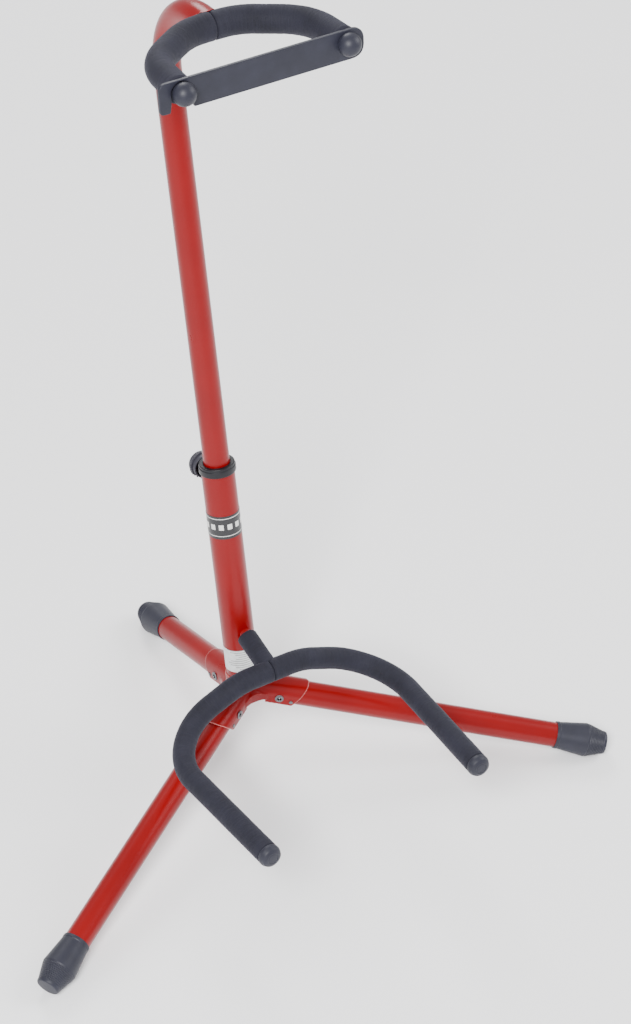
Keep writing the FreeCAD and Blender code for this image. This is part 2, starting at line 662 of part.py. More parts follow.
def make_cradle():
    stem = rod("stem_bar", "rod_dia", "stem_length", STEM)
    round_tube = rod("stem_saddle", "lower_dia", "collar_top", MAST)
    across = Placement(Vector(-2 * S.rod_dia, 0, S.stem_length), Rotation(Vector(0, 1, 0), 90))
    seat = rod("stem_seat", "rod_dia", "4 * rod_dia", STEM.multiply(across))
    piece("cradle_stem", cut("cradle_stem_coped", stem, round_tube, seat))

    foams = []
    bars = []
    for label, sense in (("left", -1), ("right", 1)):
        line = cradle_path(f"{label}_cradle_line", (sense,))
        sleeve = swept(f"{label}_cradle_sleeve", line, "cradle_foam_dia")
        bar = swept(f"{label}_cradle_bar", line, "rod_dia")
        foams.append(sleeve)
        bars.append(bar)
        piece(f"{label}_cradle_foam", cut(f"{label}_cradle_hollow", sleeve, bar, stem))
        end = line.Shape.Edges[-1]
        heading = end.tangentAt(end.LastParameter)
        tip = end.valueAt(end.LastParameter)
        make_cap(f"{label}_cradle_cap", facing(tip, heading))
    piece("cradle_rod", fuse("cradle_rod_whole", *bars))

    start = STEM.multiply(up(S.stem_foam_start))
    sleeve = rod("stem_sleeve", "stem_foam_dia", "stem_length - stem_foam_start", start)
    core = rod("stem_core", "rod_dia", "stem_length", STEM)
    clear = rod("stem_foam_clear", "lower_dia + 4 * film", "collar_top", MAST)
    piece("stem_foam", cut("stem_foam_hollow", sleeve, core, clear, *foams))


def make_cap(label, place):
    """A rubber cap with a rounded face beyond the end of a foam."""
    blank = rod(f"{label}_blank", "cradle_foam_dia", "cap_length", place)
    top = worth("cap_length")
    domed = rounded(
        f"{label}_domed", blank, S.cap_round,
        lambda edge: facing_level(edge, place, top),
    )
    piece(label, domed)


def facing_level(edge, place, level):
    """Whether an edge is the circle at a level of a frame."""
    local = place.inverse().multVec(edge.CenterOfMass)
    return abs(local.z - level) < 0.01


# ---------------------------------------------------------------- mast

MAST_BORE = "upper_dia - 2 * upper_wall"
GLIDE_DIA = "lower_dia - 2 * lower_wall - 2 * slide_gap"
TUBE_FOOT = "plug_flange * 2 + glide_height + 2 * glide_gap"


def mast_path(name, start):
    """Up the leaning tube, round its bend and forwards to the yoke."""
    half = bend_turn / 2
    middle = Vector(
        0,
        -S.bend_radius * (1 - math.cos(half)),
        S.bend_level + S.bend_radius * math.sin(half),
    )
    levels = (Vector(0, 0, start), Vector(0, 0, S.bend_level), middle, bend_end, yoke_middle)
    foot, bend_start, bend_middle, bend_stop, yoke = [MAST.multVec(level) for level in levels]
    return path_of(name, [
        Part.LineSegment(foot, bend_start).toShape(),
        Part.Arc(bend_start, bend_middle, bend_stop).toShape(),
        Part.LineSegment(bend_stop, yoke).toShape(),
    ])


def yoke_path(name, senses, reach):
    """Along one arm of the yoke, or along both when two senses are given."""
    def corners(sense):
        return [
            YOKE.multVec(Vector(sense * S.yoke_flat, 0, 0)),
            YOKE.multVec(Vector(sense * S.yoke_corner, 0, S.yoke_corner_ahead)),
            YOKE.multVec(Vector(sense * S.yoke_half, 0, reach)),
        ]
    radii = [S.yoke_radius, S.yoke_radius]
    if len(senses) == 1:
        return rounded_path(name, [YOKE.Base] + corners(senses[0]), radii)
    return rounded_path(name, corners(-1)[::-1] + corners(1), radii + radii)


def make_mast():
    tube_start = S.plug_level + worth(TUBE_FOOT)
    line = mast_path("mast_line", tube_start)
    skin = swept("mast_skin", line, "upper_dia")
    bore = swept("mast_bore", line, MAST_BORE)
    # the tube ends against the foams of the yoke
    yoke_line = yoke_path("yoke_line", (-1, 1), S.yoke_reach + S.knob_cover)
    saddle = swept("yoke_saddle", yoke_line, "neck_foam_dia + 2 * film")
    ahead = block("yoke_ahead", ("4 * upper_dia", "4 * upper_dia", "2 * upper_dia"),
                  Vector(-2 * S.upper_dia, -2 * S.upper_dia, 0), YOKE)
    piece("upper_tube", cut("upper_tube_coped", skin, bore, saddle, ahead))

    plug = turned("mast_plug_turned", [
        ("0", "0"),
        ("upper_dia / 2", "0"),
        ("upper_dia / 2", "plug_flange"),
        ("glide_groove_dia / 2", "plug_flange"),
        ("glide_groove_dia / 2", "plug_flange + glide_height + 2 * glide_gap"),
        ("upper_dia / 2", "plug_flange + glide_height + 2 * glide_gap"),
        ("upper_dia / 2", TUBE_FOOT),
        (f"({MAST_BORE}) / 2", TUBE_FOOT),
        (f"({MAST_BORE}) / 2", f"{TUBE_FOOT} + plug_grip"),
        ("0", f"{TUBE_FOOT} + plug_grip"),
    ], MAST.multiply(up(S.plug_level)))
    piece("mast_plug", plug)
    glide = MAST.multiply(up(S.plug_level + S.plug_flange + S.glide_gap))
    ring = tube("glide", GLIDE_DIA, "glide_groove_dia + 2 * slide_gap", "glide_height", glide)
    piece("glide_ring", ring)

    back = S.neck_foam_dia / 2 + S.neck_stub_grip
    stub_place = YOKE.multiply(up(-back))
    shank = rod("stub_shank", "neck_stub_dia", "neck_foam_dia / 2 + neck_stub_grip", stub_place)
    disc = rod("stub_disc", "upper_dia", "neck_stub_grip / 2", stub_place)
    stub = fuse("stub_whole", shank, common("stub_plug", disc, bore))
    across = Placement(Vector(-2 * S.neck_stub_dia, 0, 0), Rotation(Vector(0, 1, 0), 90))
    seat = rod("stub_seat", "rod_dia", "4 * neck_stub_dia", YOKE.multiply(across))
    piece("neck_stub", cut("neck_stub_coped", stub, seat))

    latch_back = S.yoke_reach - S.latch_set - S.latch_thick
    foam_reach = latch_back - S.latch_gap
    beyond = block("foam_end", ("4 * yoke_half", "4 * upper_dia", "yoke_reach"),
                   Vector(-2 * S.yoke_half, -2 * S.upper_dia, foam_reach), YOKE)
    bars = []
    for label, sense in (("left", -1), ("right", 1)):
        line = yoke_path(f"{label}_neck_line", (sense,), S.yoke_reach + S.knob_cover)
        sleeve = swept(f"{label}_neck_sleeve", line, "neck_foam_dia")
        bar = swept(f"{label}_neck_bar", line, "rod_dia")
        bars.append(bar)
        piece(f"{label}_neck_foam", cut(f"{label}_neck_hollow", sleeve, bar, stub, beyond))
        make_neck_knob(label, sense, foam_reach, bar)
    piece("neck_rod", fuse("neck_rod_whole", *bars))


def make_neck_knob(label, sense, start, bar):
    """A rubber ball on a neck, pushed over the end of the yoke."""
    middle = YOKE.multiply(Placement(Vector(sense * S.yoke_half, 0, S.yoke_reach), Rotation()))
    whole_ball = ball(f"{label}_ball", "knob_ball_dia", middle)
    neck_place = middle.multiply(up(start - S.yoke_reach))
    neck = rod(f"{label}_neck", "knob_neck_dia", f"{S.yoke_reach - start}", neck_place)
    # the ball keeps clear of the latch bar in front of which it stands
    room = "latch_thick + 2 * latch_gap"
    flat = rod(f"{label}_flat", "2 * knob_ball_dia", room, neck_place)
    ball_front = cut(f"{label}_ball_front", whole_ball, flat)
    solid = fuse(f"{label}_knob_solid", ball_front, neck)
    piece(f"{label}_knob", cut(f"{label}_knob_hollow", solid, bar))


# ---------------------------------------------------------------- latch

def make_latch():
    """A stiff bar turning on the right knob and hooked over the left one."""
    back = S.yoke_reach - S.latch_set - S.latch_thick
    left = -(S.yoke_half + S.latch_hook)
    length = "2 * yoke_half + latch_hook + latch_end"
    blank = block("latch_blank", (length, "latch_above + latch_below", "latch_thick"),
                  Vector(left, -S.latch_below, back), YOKE)
    right = S.yoke_half + S.latch_end

    def corner(edge, x_wanted, ends):
        middle = YOKE.inverse().multVec(edge.CenterOfMass)
        upright = abs(YOKE.Rotation.inverted().multVec(edge.tangentAt(edge.FirstParameter)).z) > 0.9
        return upright and abs(middle.x - x_wanted) < 0.1 and round(middle.y, 1) in ends

    both = (round(S.latch_above, 1), round(-S.latch_below, 1))
    pivot_end = rounded("latch_pivot_end", blank, S.latch_round, lambda edge: corner(edge, right, both))
    outline = rounded("latch_hook_end", pivot_end, S.hook_round, lambda edge: corner(edge, left, both))
    catch = Placement(Vector(-S.yoke_half, 0, back - S.latch_thick), Rotation())
    slot_top = rod("latch_slot_top", "hook_slot", "3 * latch_thick", YOKE.multiply(catch))
    slot = block("latch_slot", ("hook_slot", "latch_below", "3 * latch_thick"),
                 Vector(-S.yoke_half - S.hook_slot / 2, -S.latch_below, back - S.latch_thick), YOKE)
    pivot = Placement(Vector(S.yoke_half, 0, back - S.latch_thick), Rotation())
    eye = "knob_neck_dia + 2 * slide_gap"
    hole = rod("latch_pivot_hole", eye, "3 * latch_thick", YOKE.multiply(pivot))
    piece("latch_bar", cut("latch_bar_cut", outline, slot_top, slot, hole))


# ---------------------------------------------------------------- the stand

make_hub()
make_hub_fasteners()
for side in SIDES:
    make_leg(side)
make_lower_tube()
make_collar()
make_label("label_band", S.label_level, "label_height", 360)
make_label("info_sticker", S.sticker_level, "sticker_height", S.sticker_wrap)
make_clamp()
make_cradle()
make_mast()
make_latch()
doc.recompute()

# the origin goes to the middle of the box round the whole stand, on the floor
around = FreeCAD.BoundBox()
for item in PIECES:
    around.add(item.Shape.optimalBoundingBox(False, False))
CENTRING = Placement(Vector(0, -around.Center.y, 0), Rotation())
for item in PIECES:
    item.Placement = CENTRING.multiply(item.Placement)
doc.recompute()

faults = []
for item in doc.Objects:
    if "Invalid" in item.State or "Error" in item.State:
        faults.append(f"{item.Label}: {item.State}")
for item in PIECES:
    if item.Shape.isNull() or not item.Shape.isValid():
        faults.append(f"{item.Label}: no valid shape")
if faults:
    raise RuntimeError("\n".join(faults))

os.makedirs("parts", exist_ok=True)
for item in PIECES:
    item.Shape.exportStep(f"parts/{item.Label}.step")
    print(f"{item.Label:22s} {item.Shape.Volume:10.1f} mm3, {len(item.Shape.Solids)} solids")
print("box", around)
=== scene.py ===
import json
import math

import bmesh
import bpy
from bpy.props import FloatProperty, FloatVectorProperty, IntProperty, PointerProperty
from mathutils import Matrix, Vector, noise


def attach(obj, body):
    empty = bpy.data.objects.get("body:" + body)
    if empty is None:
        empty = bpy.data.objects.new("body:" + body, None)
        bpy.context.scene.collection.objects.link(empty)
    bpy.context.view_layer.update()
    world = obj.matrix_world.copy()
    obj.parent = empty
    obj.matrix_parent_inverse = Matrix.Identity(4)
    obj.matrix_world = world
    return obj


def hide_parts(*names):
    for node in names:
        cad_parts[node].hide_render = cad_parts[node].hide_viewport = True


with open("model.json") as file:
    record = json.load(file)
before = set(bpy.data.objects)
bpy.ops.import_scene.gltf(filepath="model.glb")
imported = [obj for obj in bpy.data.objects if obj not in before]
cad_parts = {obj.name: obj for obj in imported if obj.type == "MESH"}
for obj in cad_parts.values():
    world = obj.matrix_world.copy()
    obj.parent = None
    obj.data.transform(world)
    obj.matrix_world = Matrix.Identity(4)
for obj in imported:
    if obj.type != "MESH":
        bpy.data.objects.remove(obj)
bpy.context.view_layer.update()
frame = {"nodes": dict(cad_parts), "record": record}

bl_info = {
    "name": "Folding guitar stand",
    "version": (1, 0, 0),
    "blender": (4, 5, 0),
    "location": "3D View > Sidebar > Guitar Stand",
    "description": "Dresses the packed frame of a folding guitar stand with foam, rubber and powder coat",
    "category": "Object",
}

JOINTS = {joint["name"]: joint for joint in frame["record"]["behaviour"]["joints"]}
SIDES = ("front_left", "front_right", "rear")


# ---------------------------------------------------------------- sizes and colours

def length(name, description, default, low=0.0):
    return FloatProperty(name=name, description=description, default=default, min=low,
                         subtype="DISTANCE", unit="LENGTH")


def angle(name, description, degrees):
    return FloatProperty(name=name, description=description, default=math.radians(degrees),
                         subtype="ANGLE", unit="ROTATION")


def colour(name, description, default):
    return FloatVectorProperty(name=name, description=description, default=default, size=3,
                               min=0.0, max=1.0, subtype="COLOR")


class StandTubeSizes(bpy.types.PropertyGroup):
    """Sizes of the tubes, the hub and the feet."""

    hub_tilt: angle("Hub tilt", "Lean of the hub from upright", 6.0)
    leg_slope: angle("Leg slope", "Fall of the legs from the hub's plane", 14.7)
    leg_spread: angle("Leg spread", "Turn of a front leg from straight ahead", 60.5)
    leg_dia: length("Leg diameter", "Outside diameter of a leg tube", 0.022)
    lower_dia: length("Lower tube diameter", "Outside diameter of the lower tube", 0.028)
    lower_wall: length("Lower tube wall", "Wall of the lower tube", 0.0013)
    lower_start: length("Lower tube foot", "Hub point to the foot of the lower tube", 0.014)
    collar_top: length("Collar top", "Hub point to the top of the collar", 0.220)
    collar_height: length("Collar height", "Height of the collar", 0.008)
    collar_dia: length("Collar diameter", "Outside diameter of the collar", 0.031)
    upper_dia: length("Upper tube diameter", "Outside diameter of the upper tube", 0.022)
    upper_wall: length("Upper tube wall", "Wall of the upper tube", 0.0012)
    upper_start: length("Upper tube foot", "Hub point to the foot of the upper tube", 0.1013)
    bend_level: length("Bend level", "Hub point to the start of the bend", 0.560)
    bend_radius: length("Bend radius", "Radius of the bend at the top", 0.062)
    bend_turn: angle("Bend turn", "Turn of the bend at the top", 96.4)
    foot_skirt: length("Foot skirt", "Rim of a foot to its widest ring", 0.028)
    foot_nose: length("Foot nose", "Widest ring of a foot to its end", 0.018)
    foot_rim_dia: length("Foot rim diameter", "Diameter at the rim of a foot", 0.0238)
    foot_wide_dia: length("Foot widest diameter", "Diameter at the widest ring of a foot", 0.0296)
    foot_end_dia: length("Foot end diameter", "Diameter at the end of a foot", 0.0196)
    foot_press: length("Foot press", "How far a foot is flattened on the floor", 0.0006)


class StandPadSizes(bpy.types.PropertyGroup):
    """Sizes of the yoke, the cradle, their foams and the latch bar."""

    neck_foam_dia: length("Neck foam diameter", "Foam of the neck yoke", 0.0218)
    yoke_offset: length("Yoke offset", "End of the bend to the centre of the yoke", 0.014)
    yoke_flat: length("Yoke flat", "Yoke centre to its first bend", 0.021)
    yoke_corner: length("Yoke corner", "Yoke centre to its corner, sideways", 0.0645)
    yoke_corner_ahead: length("Yoke corner ahead", "Yoke centre to its corner, forwards", 0.031)
    yoke_half: length("Yoke half width", "Yoke centre to a knob, sideways", 0.067)
    yoke_reach: length("Yoke reach", "Yoke centre to a knob, forwards", 0.0825)
    yoke_radius: length("Yoke bend radius", "Radius of the bends of the yoke", 0.043)
    ball_dia: length("Ball diameter", "Ball of a neck knob", 0.0176)
    ball_neck_dia: length("Ball neck diameter", "Neck of a neck knob", 0.013)
    latch_thick: length("Latch thickness", "Thickness of the latch bar", 0.003)
    latch_set: length("Latch set", "Front of the latch bar to the middle of a ball", 0.0042)
    latch_above: length("Latch above", "Latch bar above the knobs", 0.0094)
    latch_below: length("Latch below", "Latch bar below the knobs", 0.0141)
    latch_end: length("Latch pivot end", "Latch bar past its pivot", 0.0145)
    latch_hook: length("Latch hook end", "Latch bar past its catch", 0.0177)
    latch_round: length("Latch pivot rounding", "Rounded corners at the pivot end", 0.011)
    hook_round: length("Latch hook rounding", "Rounded corners at the hook end", 0.006)
    hook_slot: length("Hook slot", "Width of the hook's slot", 0.0164)
    latch_gap: length("Latch play", "Play between the latch bar and what it turns on", 0.0003)
    stem_level: length("Stem level", "Hub point to the stem of the cradle", 0.063)
    stem_length: length("Stem length", "Tube axis to the cradle rod", 0.058)
    stem_fall: angle("Stem fall", "Fall of the stem below level", 8.0)
    stem_foam_dia: length("Stem foam diameter", "Foam of the cradle's stem", 0.0175)
    stem_foam_start: length("Stem foam start", "Tube axis to the stem's foam", 0.017)
    cradle_flat: length("Cradle flat", "Cradle centre to its first bend", 0.030)
    cradle_half: length("Cradle corner", "Cradle centre to its corner, sideways", 0.107)
    cradle_ahead: length("Cradle corner ahead", "Cradle centre to its corner, forwards", 0.003)
    cradle_drop: length("Cradle drop", "Cradle centre down to its corner", 0.033)
    cradle_end_half: length("Cradle end", "Cradle centre to an end, sideways", 0.0985)
    cradle_reach: length("Cradle reach", "Cradle centre to an end, forwards", 0.166)
    cradle_end_drop: length("Cradle end drop", "Cradle centre down to an end", 0.008)
    shoulder_radius: length("Shoulder radius", "First bends of the cradle", 0.060)
    corner_radius: length("Corner radius", "Corner bends of the cradle", 0.050)
    cradle_foam_dia: length("Cradle foam diameter", "Foam of the cradle", 0.0192)
    cap_length: length("Cap length", "Cap at the end of a cradle arm", 0.008)
    wrinkle: length("Foam wrinkle", "Height of the fine wrinkles in the foam", 0.00010)
    ring_step: length("Foam ring step", "Spacing of the rings in a foam's mesh", 0.0008, 0.0002)


class StandHardwareSizes(bpy.types.PropertyGroup):
    """Sizes of the rivets and the clamp knob."""

    pivot_reach: length("Pivot reach", "Hub point to a leg's pivot", 0.0307)
    pivot_bore: length("Pivot bore", "Bore of a pivot rivet", 0.003)
    pivot_head_dia: length("Pivot head", "Head of a pivot rivet", 0.0076)
    pivot_head: length("Pivot head height", "Height of a pivot rivet's head", 0.001)
    detent_reach: length("Detent reach", "Hub point to a detent rivet", 0.0415)
    detent_drop: length("Detent drop", "Detent rivet below the leg's axis", 0.0024)
    detent_head_dia: length("Detent head", "Head of a detent rivet", 0.0036)
    detent_head: length("Detent head height", "Height of a detent rivet's head", 0.0006)
    channel_side: length("Channel side", "Leg axis to the outside of its channel", 0.0128)
    clamp_level: length("Clamp level", "Hub point to the clamp screw", 0.205)
    knob_start: length("Knob start", "Tube axis to the clamp knob", 0.0225)
    knob_dia: length("Knob diameter", "Clamp knob over its ribs", 0.022)
    knob_height: length("Knob height", "Clamp knob, front to back", 0.011)
    knob_wall: length("Knob wall", "Rim of the clamp knob", 0.0022)
    knob_core_dia: length("Knob core", "Core of the clamp knob round its screw", 0.010)
    knob_face: length("Knob face", "Thickness of the clamp knob's face", 0.003)
    knob_ribs: IntProperty(name="Knob ribs", description="Ribs round the clamp knob", default=30, min=6)


class StandColours(bpy.types.PropertyGroup):
    """Colours of the finishes."""

    coat: colour("Powder coat", "Red of the tubes and the hub", (0.190, 0.0002, 0.0013))
    foam: colour("Foam", "Charcoal of the foam sleeves", (0.0105, 0.0105, 0.018))
    rubber: colour("Rubber", "Charcoal of the feet, knobs and latch bar", (0.017, 0.0175, 0.028))
    plastic: colour("Dark plastic", "Collar and face of the clamp knob", (0.007, 0.007, 0.010))
    rim: colour("Knob rim", "Ribbed rim of the clamp knob", (0.034, 0.033, 0.044))
    steel: colour("Steel", "Rivets and screws", (0.17, 0.17, 0.18))
    film: colour("Sticker", "Silver film low on the tube", (0.60, 0.62, 0.62))
    floor: colour("Floor", "Studio floor", (0.93, 0.93, 0.94))


def tubes():
    return bpy.context.scene.stand_tubes


def pads():
    return bpy.context.scene.stand_pads


def hardware():
    return bpy.context.scene.stand_hardware


def colours():
    return bpy.context.scene.stand_colours


# ---------------------------------------------------------------- places

HUB_POINT = Vector(JOINTS["mast_turn"]["pos_m"])
TUBE_UP = Vector(JOINTS["mast_turn"]["axis"]).normalized()
YOKE_AHEAD = -Vector(JOINTS["latch_swing"]["axis"]).normalized()
RIGHT_KNOB = Vector(JOINTS["latch_swing"]["pos_m"])
CLAMP_OUT = Vector(JOINTS["clamp_turn"]["axis"]).normalized()
SIDEWAYS = Vector((1, 0, 0))


def frame_at(point, z_axis, x_axis=SIDEWAYS):
    """A place whose +Z runs along z_axis and whose +X keeps to the side of x_axis."""
    z = Vector(z_axis).normalized()
    y = z.cross(Vector(x_axis)).normalized()
    x = y.cross(z)
    place = Matrix((x, y, z)).transposed().to_4x4()
    place.translation = point
    return place


def mast_place():
    return frame_at(HUB_POINT, TUBE_UP)


def yoke_place():
    """The middle of the neck yoke, +Z ahead, +Y up."""
    size = pads()
    middle = RIGHT_KNOB - YOKE_AHEAD * size.yoke_reach - SIDEWAYS * size.yoke_half
    return frame_at(middle, YOKE_AHEAD)


def stem_ahead():
    fall = pads().stem_fall
    return Vector((0, -math.cos(fall), -math.sin(fall)))


def cradle_middle():
    size = pads()
    return HUB_POINT + TUBE_UP * size.stem_level + stem_ahead() * size.stem_length


def leg_place(side):
    """+Z out along the leg, +X above it, +Y along its pivot."""
    size = tubes()
    turn = {"front_left": -size.leg_spread, "front_right": size.leg_spread, "rear": math.pi}[side]
    flat = Vector((math.sin(turn), -math.cos(turn), 0))
    out = flat * math.cos(size.leg_slope) - Vector((0, 0, math.sin(size.leg_slope)))
    above = flat * math.sin(size.leg_slope) + Vector((0, 0, math.cos(size.leg_slope)))
    tilt = Matrix.Rotation(-size.hub_tilt, 3, "X")
    return frame_at(HUB_POINT, tilt @ out, tilt @ above)


def foot_start(side):
    """How far out along its leg a foot's rim is."""
    size = tubes()
    fall = math.asin(-(leg_place(side).to_3x3() @ Vector((0, 0, 1))).z)
    depth = HUB_POINT.z + size.foot_press
    wide = (depth - size.foot_wide_dia / 2 * math.cos(fall)) / math.sin(fall)
    end = (depth - size.foot_end_dia / 2 * math.cos(fall)) / math.sin(fall) - size.foot_nose
    return min(wide, end) - size.foot_skirt


# ---------------------------------------------------------------- meshes

def finished(name, mesh, material, body, *replaced, slot=None):
    """Make a piece of a mesh, give it its finish and let it ride on its body."""
    piece = bpy.data.objects.new(name, mesh)
    bpy.context.scene.collection.objects.link(piece)
    if material is not None:
        mesh.materials.clear()
        mesh.materials.append(material)
    for face in mesh.polygons:
        face.use_smooth = True
    if replaced:
        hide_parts(*replaced)
    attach(piece, body)
    return piece


def mesh_of(name, bm, outwards=True):
    if outwards:
        bmesh.ops.recalc_face_normals(bm, faces=bm.faces)
    mesh = bpy.data.meshes.new(name)
    bm.to_mesh(mesh)
    bm.free()
    return mesh


def rounded_line(corners, radii, step):
    """Points along straight runs joined by tangent arcs, a step apart."""
    points = []

    def run(start, end):
        count = max(1, round((end - start).length / step))
        points.extend(start.lerp(end, k / count) for k in range(count))

    start = corners[0]
    for before, corner, after, radius in zip(corners, corners[1:], corners[2:], radii):
        back = (before - corner).normalized()
        ahead = (after - corner).normalized()
        half_open = back.angle(ahead) / 2
        setback = radius / math.tan(half_open)
        centre = corner + (back + ahead).normalized() * radius / math.sin(half_open)
        first = corner + back * setback
        last = corner + ahead * setback
        run(start, first)
        turn = math.pi - 2 * half_open
        count = max(4, round(turn * radius / step))
        spoke = first - centre
        axis = spoke.cross(last - centre).normalized()
        points.extend(centre + Matrix.Rotation(turn * k / count, 3, axis) @ spoke for k in range(count))
        start = last
    run(start, corners[-1])
    points.append(corners[-1].copy())
    return points


def rings_along(points):
    """A turned frame at each point of a line, carried along without twist."""
    tangents = []
    for number, point in enumerate(points):
        before = points[max(0, number - 1)]
        after = points[min(len(points) - 1, number + 1)]
        tangents.append((after - before).normalized())
    across = tangents[0].orthogonal().normalized()
    frames = []
    for point, tangent in zip(points, tangents):
        across = (across - tangent * across.dot(tangent)).normalized()
        frames.append((point, across, tangent.cross(across), tangent))
    return frames


def ruled_tube(name, points, radius_at, sides, hollow=0.0):
    """A round bar along points; radius_at(distance, total, angle) gives its skin.

    A hollow bar has a bore of that radius, and a solid one has closed ends.
    The UV map holds metres along the bar and round it.
    """
    bm = bmesh.new()
    frames = rings_along(points)
    travel = [0.0]
    for first, second in zip(points, points[1:]):
        travel.append(travel[-1] + (second - first).length)
    total = travel[-1]

    def ring(spot, across, beside, radius):
        return [bm.verts.new(spot + (across * math.cos(a) + beside * math.sin(a)) * radius(a))
                for a in (2 * math.pi * k / sides for k in range(sides))]

    skin = []
    for distance, (spot, across, beside, tangent) in zip(travel, frames):
        skin.append(ring(spot, across, beside, lambda a: radius_at(distance, total, a)))
    layer = bm.loops.layers.uv.new("UVMap")

    def join(one, other, low, high, round_length):
        for k in range(sides):
            face = bm.faces.new((one[k], one[(k + 1) % sides], other[(k + 1) % sides], other[k]))
            spots = ((k, low), (k + 1, low), (k + 1, high), (k, high))
            for loop, (turn, along) in zip(face.loops, spots):
                loop[layer].uv = (turn / sides * round_length, along)

    girth = 2 * math.pi * radius_at(total / 2, total, 0.0)
    for one, other, low, high in zip(skin, skin[1:], travel, travel[1:]):
        join(one, other, low, high, girth)
    if hollow:
        bore = [ring(spot, across, beside, lambda a: hollow) for spot, across, beside, tangent in frames]
        for one, other, low, high in zip(bore, bore[1:], travel, travel[1:]):
            join(one, other, low, high, girth)
        join(skin[0], bore[0], 0.0, 0.0, girth)
        join(skin[-1], bore[-1], total, total, girth)
    else:
        for rim, spot in ((skin[0], points[0]), (skin[-1], points[-1])):
            hub = bm.verts.new(spot)
            for k in range(sides):
                bm.faces.new((rim[k], rim[(k + 1) % sides], hub))
    return mesh_of(name, bm)


def softened(corners, radius, steps=5):
    """A profile with each corner rounded as far as its sides allow."""
    points = []
    count = len(corners)
    for number, corner in enumerate(corners):
        here = Vector(corner[:2])
        wanted = corner[2] if len(corner) > 2 else radius
        before = Vector(corners[number - 1][:2]) - here
        after = Vector(corners[(number + 1) % count][:2]) - here
        if wanted <= 0 or before.length < 1e-9 or after.length < 1e-9:
            points.append(here)
            continue
        half_open = before.angle(after) / 2
        reach = min(wanted / math.tan(half_open) if half_open < 1.56 else 0,
                    before.length * 0.45, after.length * 0.45)
        if reach < 1e-7:
            points.append(here)
            continue
        start = here + before.normalized() * reach
        end = here + after.normalized() * reach
        for k in range(steps + 1):
            t = k / steps
            points.append(start * (1 - t) ** 2 + here * 2 * t * (1 - t) + end * t ** 2)
    return points


def lathe(name, corners, place, sides=96, radius=0.0004):
    """Turn a closed (radius, level) profile about a place's Z axis."""
    profile = softened(corners, radius)
    bm = bmesh.new()
    columns = []
    for k in range(sides):
        a = 2 * math.pi * k / sides
        column = []
        for r, z in profile:
            column.append(bm.verts.new(place @ Vector((r * math.cos(a), r * math.sin(a), z))))
        columns.append(column)
    count = len(profile)
    for one, other in zip(columns, columns[1:] + columns[:1]):
        for k in range(count):
            after = (k + 1) % count
            bm.faces.new((one[k], other[k], other[after], one[after]))
    bmesh.ops.remove_doubles(bm, verts=bm.verts, dist=1e-6)
    bmesh.ops.dissolve_degenerate(bm, dist=1e-7, edges=bm.edges)
    return mesh_of(name, bm)


def slab(name, outline, low, high, place, edge):
    """A flat piece of an outline, its thickness between two levels, its edges rounded."""
    bm = bmesh.new()
    bottom = [bm.verts.new((x, y, low)) for x, y in outline]
    face = bm.faces.new(bottom)
    grown = bmesh.ops.extrude_face_region(bm, geom=[face])
    raised = [item for item in grown["geom"] if isinstance(item, bmesh.types.BMVert)]
    bmesh.ops.translate(bm, verts=raised, vec=(0, 0, high - low))
    bmesh.ops.recalc_face_normals(bm, faces=bm.faces)
    rims = [e for e in bm.edges if abs(e.verts[0].co.z - e.verts[1].co.z) < 1e-9]
    bmesh.ops.bevel(bm, geom=rims, offset=edge, segments=4, profile=0.6, affect="EDGES",
                    clamp_overlap=True)
    bmesh.ops.transform(bm, matrix=place, verts=bm.verts)
    bmesh.ops.triangulate(bm, faces=[f for f in bm.faces if len(f.verts) > 4])
    return mesh_of(name, bm)


def soft_copy(name, node, voxel, passes):
    """A fine, evenly meshed copy of a CAD node with its sharp edges eased."""
    mesh = frame["nodes"][node].data.copy()
    bm = bmesh.new()
    bm.from_mesh(mesh)
    bmesh.ops.remove_doubles(bm, verts=bm.verts, dist=1e-6)
    bm.to_mesh(mesh)
    bm.free()
    blank = bpy.data.objects.new(name, mesh)
    bpy.context.scene.collection.objects.link(blank)
    remesh = blank.modifiers.new("Even", "REMESH")
    remesh.mode = "VOXEL"
    remesh.voxel_size = voxel
    ease = blank.modifiers.new("Ease", "CORRECTIVE_SMOOTH")
    ease.use_only_smooth = True
    ease.iterations = passes
    made = evaluated_mesh(blank)
    made.name = name
    bpy.data.objects.remove(blank)
    return made


def evaluated_mesh(item):
    """A plain mesh of what an object's modifiers make."""
    graph = bpy.context.evaluated_depsgraph_get()
    graph.update()
    return bpy.data.meshes.new_from_object(item.evaluated_get(graph), depsgraph=graph)


# ---------------------------------------------------------------- geometry nodes

class Tree:
    """A node tree under construction: nodes are added and wired by name."""

    def __init__(self, tree):
        self.tree = tree
        self.nodes = tree.nodes
        self.links = tree.links

    def add(self, kind, inputs=None, **settings):
        node = self.nodes.new(kind)
        for key, value in settings.items():
            setattr(node, key, value)
        for key, value in (inputs or {}).items():
            self.wire(value, node.inputs[key])
        return node

    def wire(self, value, socket):
        if isinstance(value, bpy.types.NodeSocket):
            self.links.new(value, socket)
        elif isinstance(value, bpy.types.Node):
            self.links.new(value.outputs[0], socket)
        else:
            socket.default_value = value


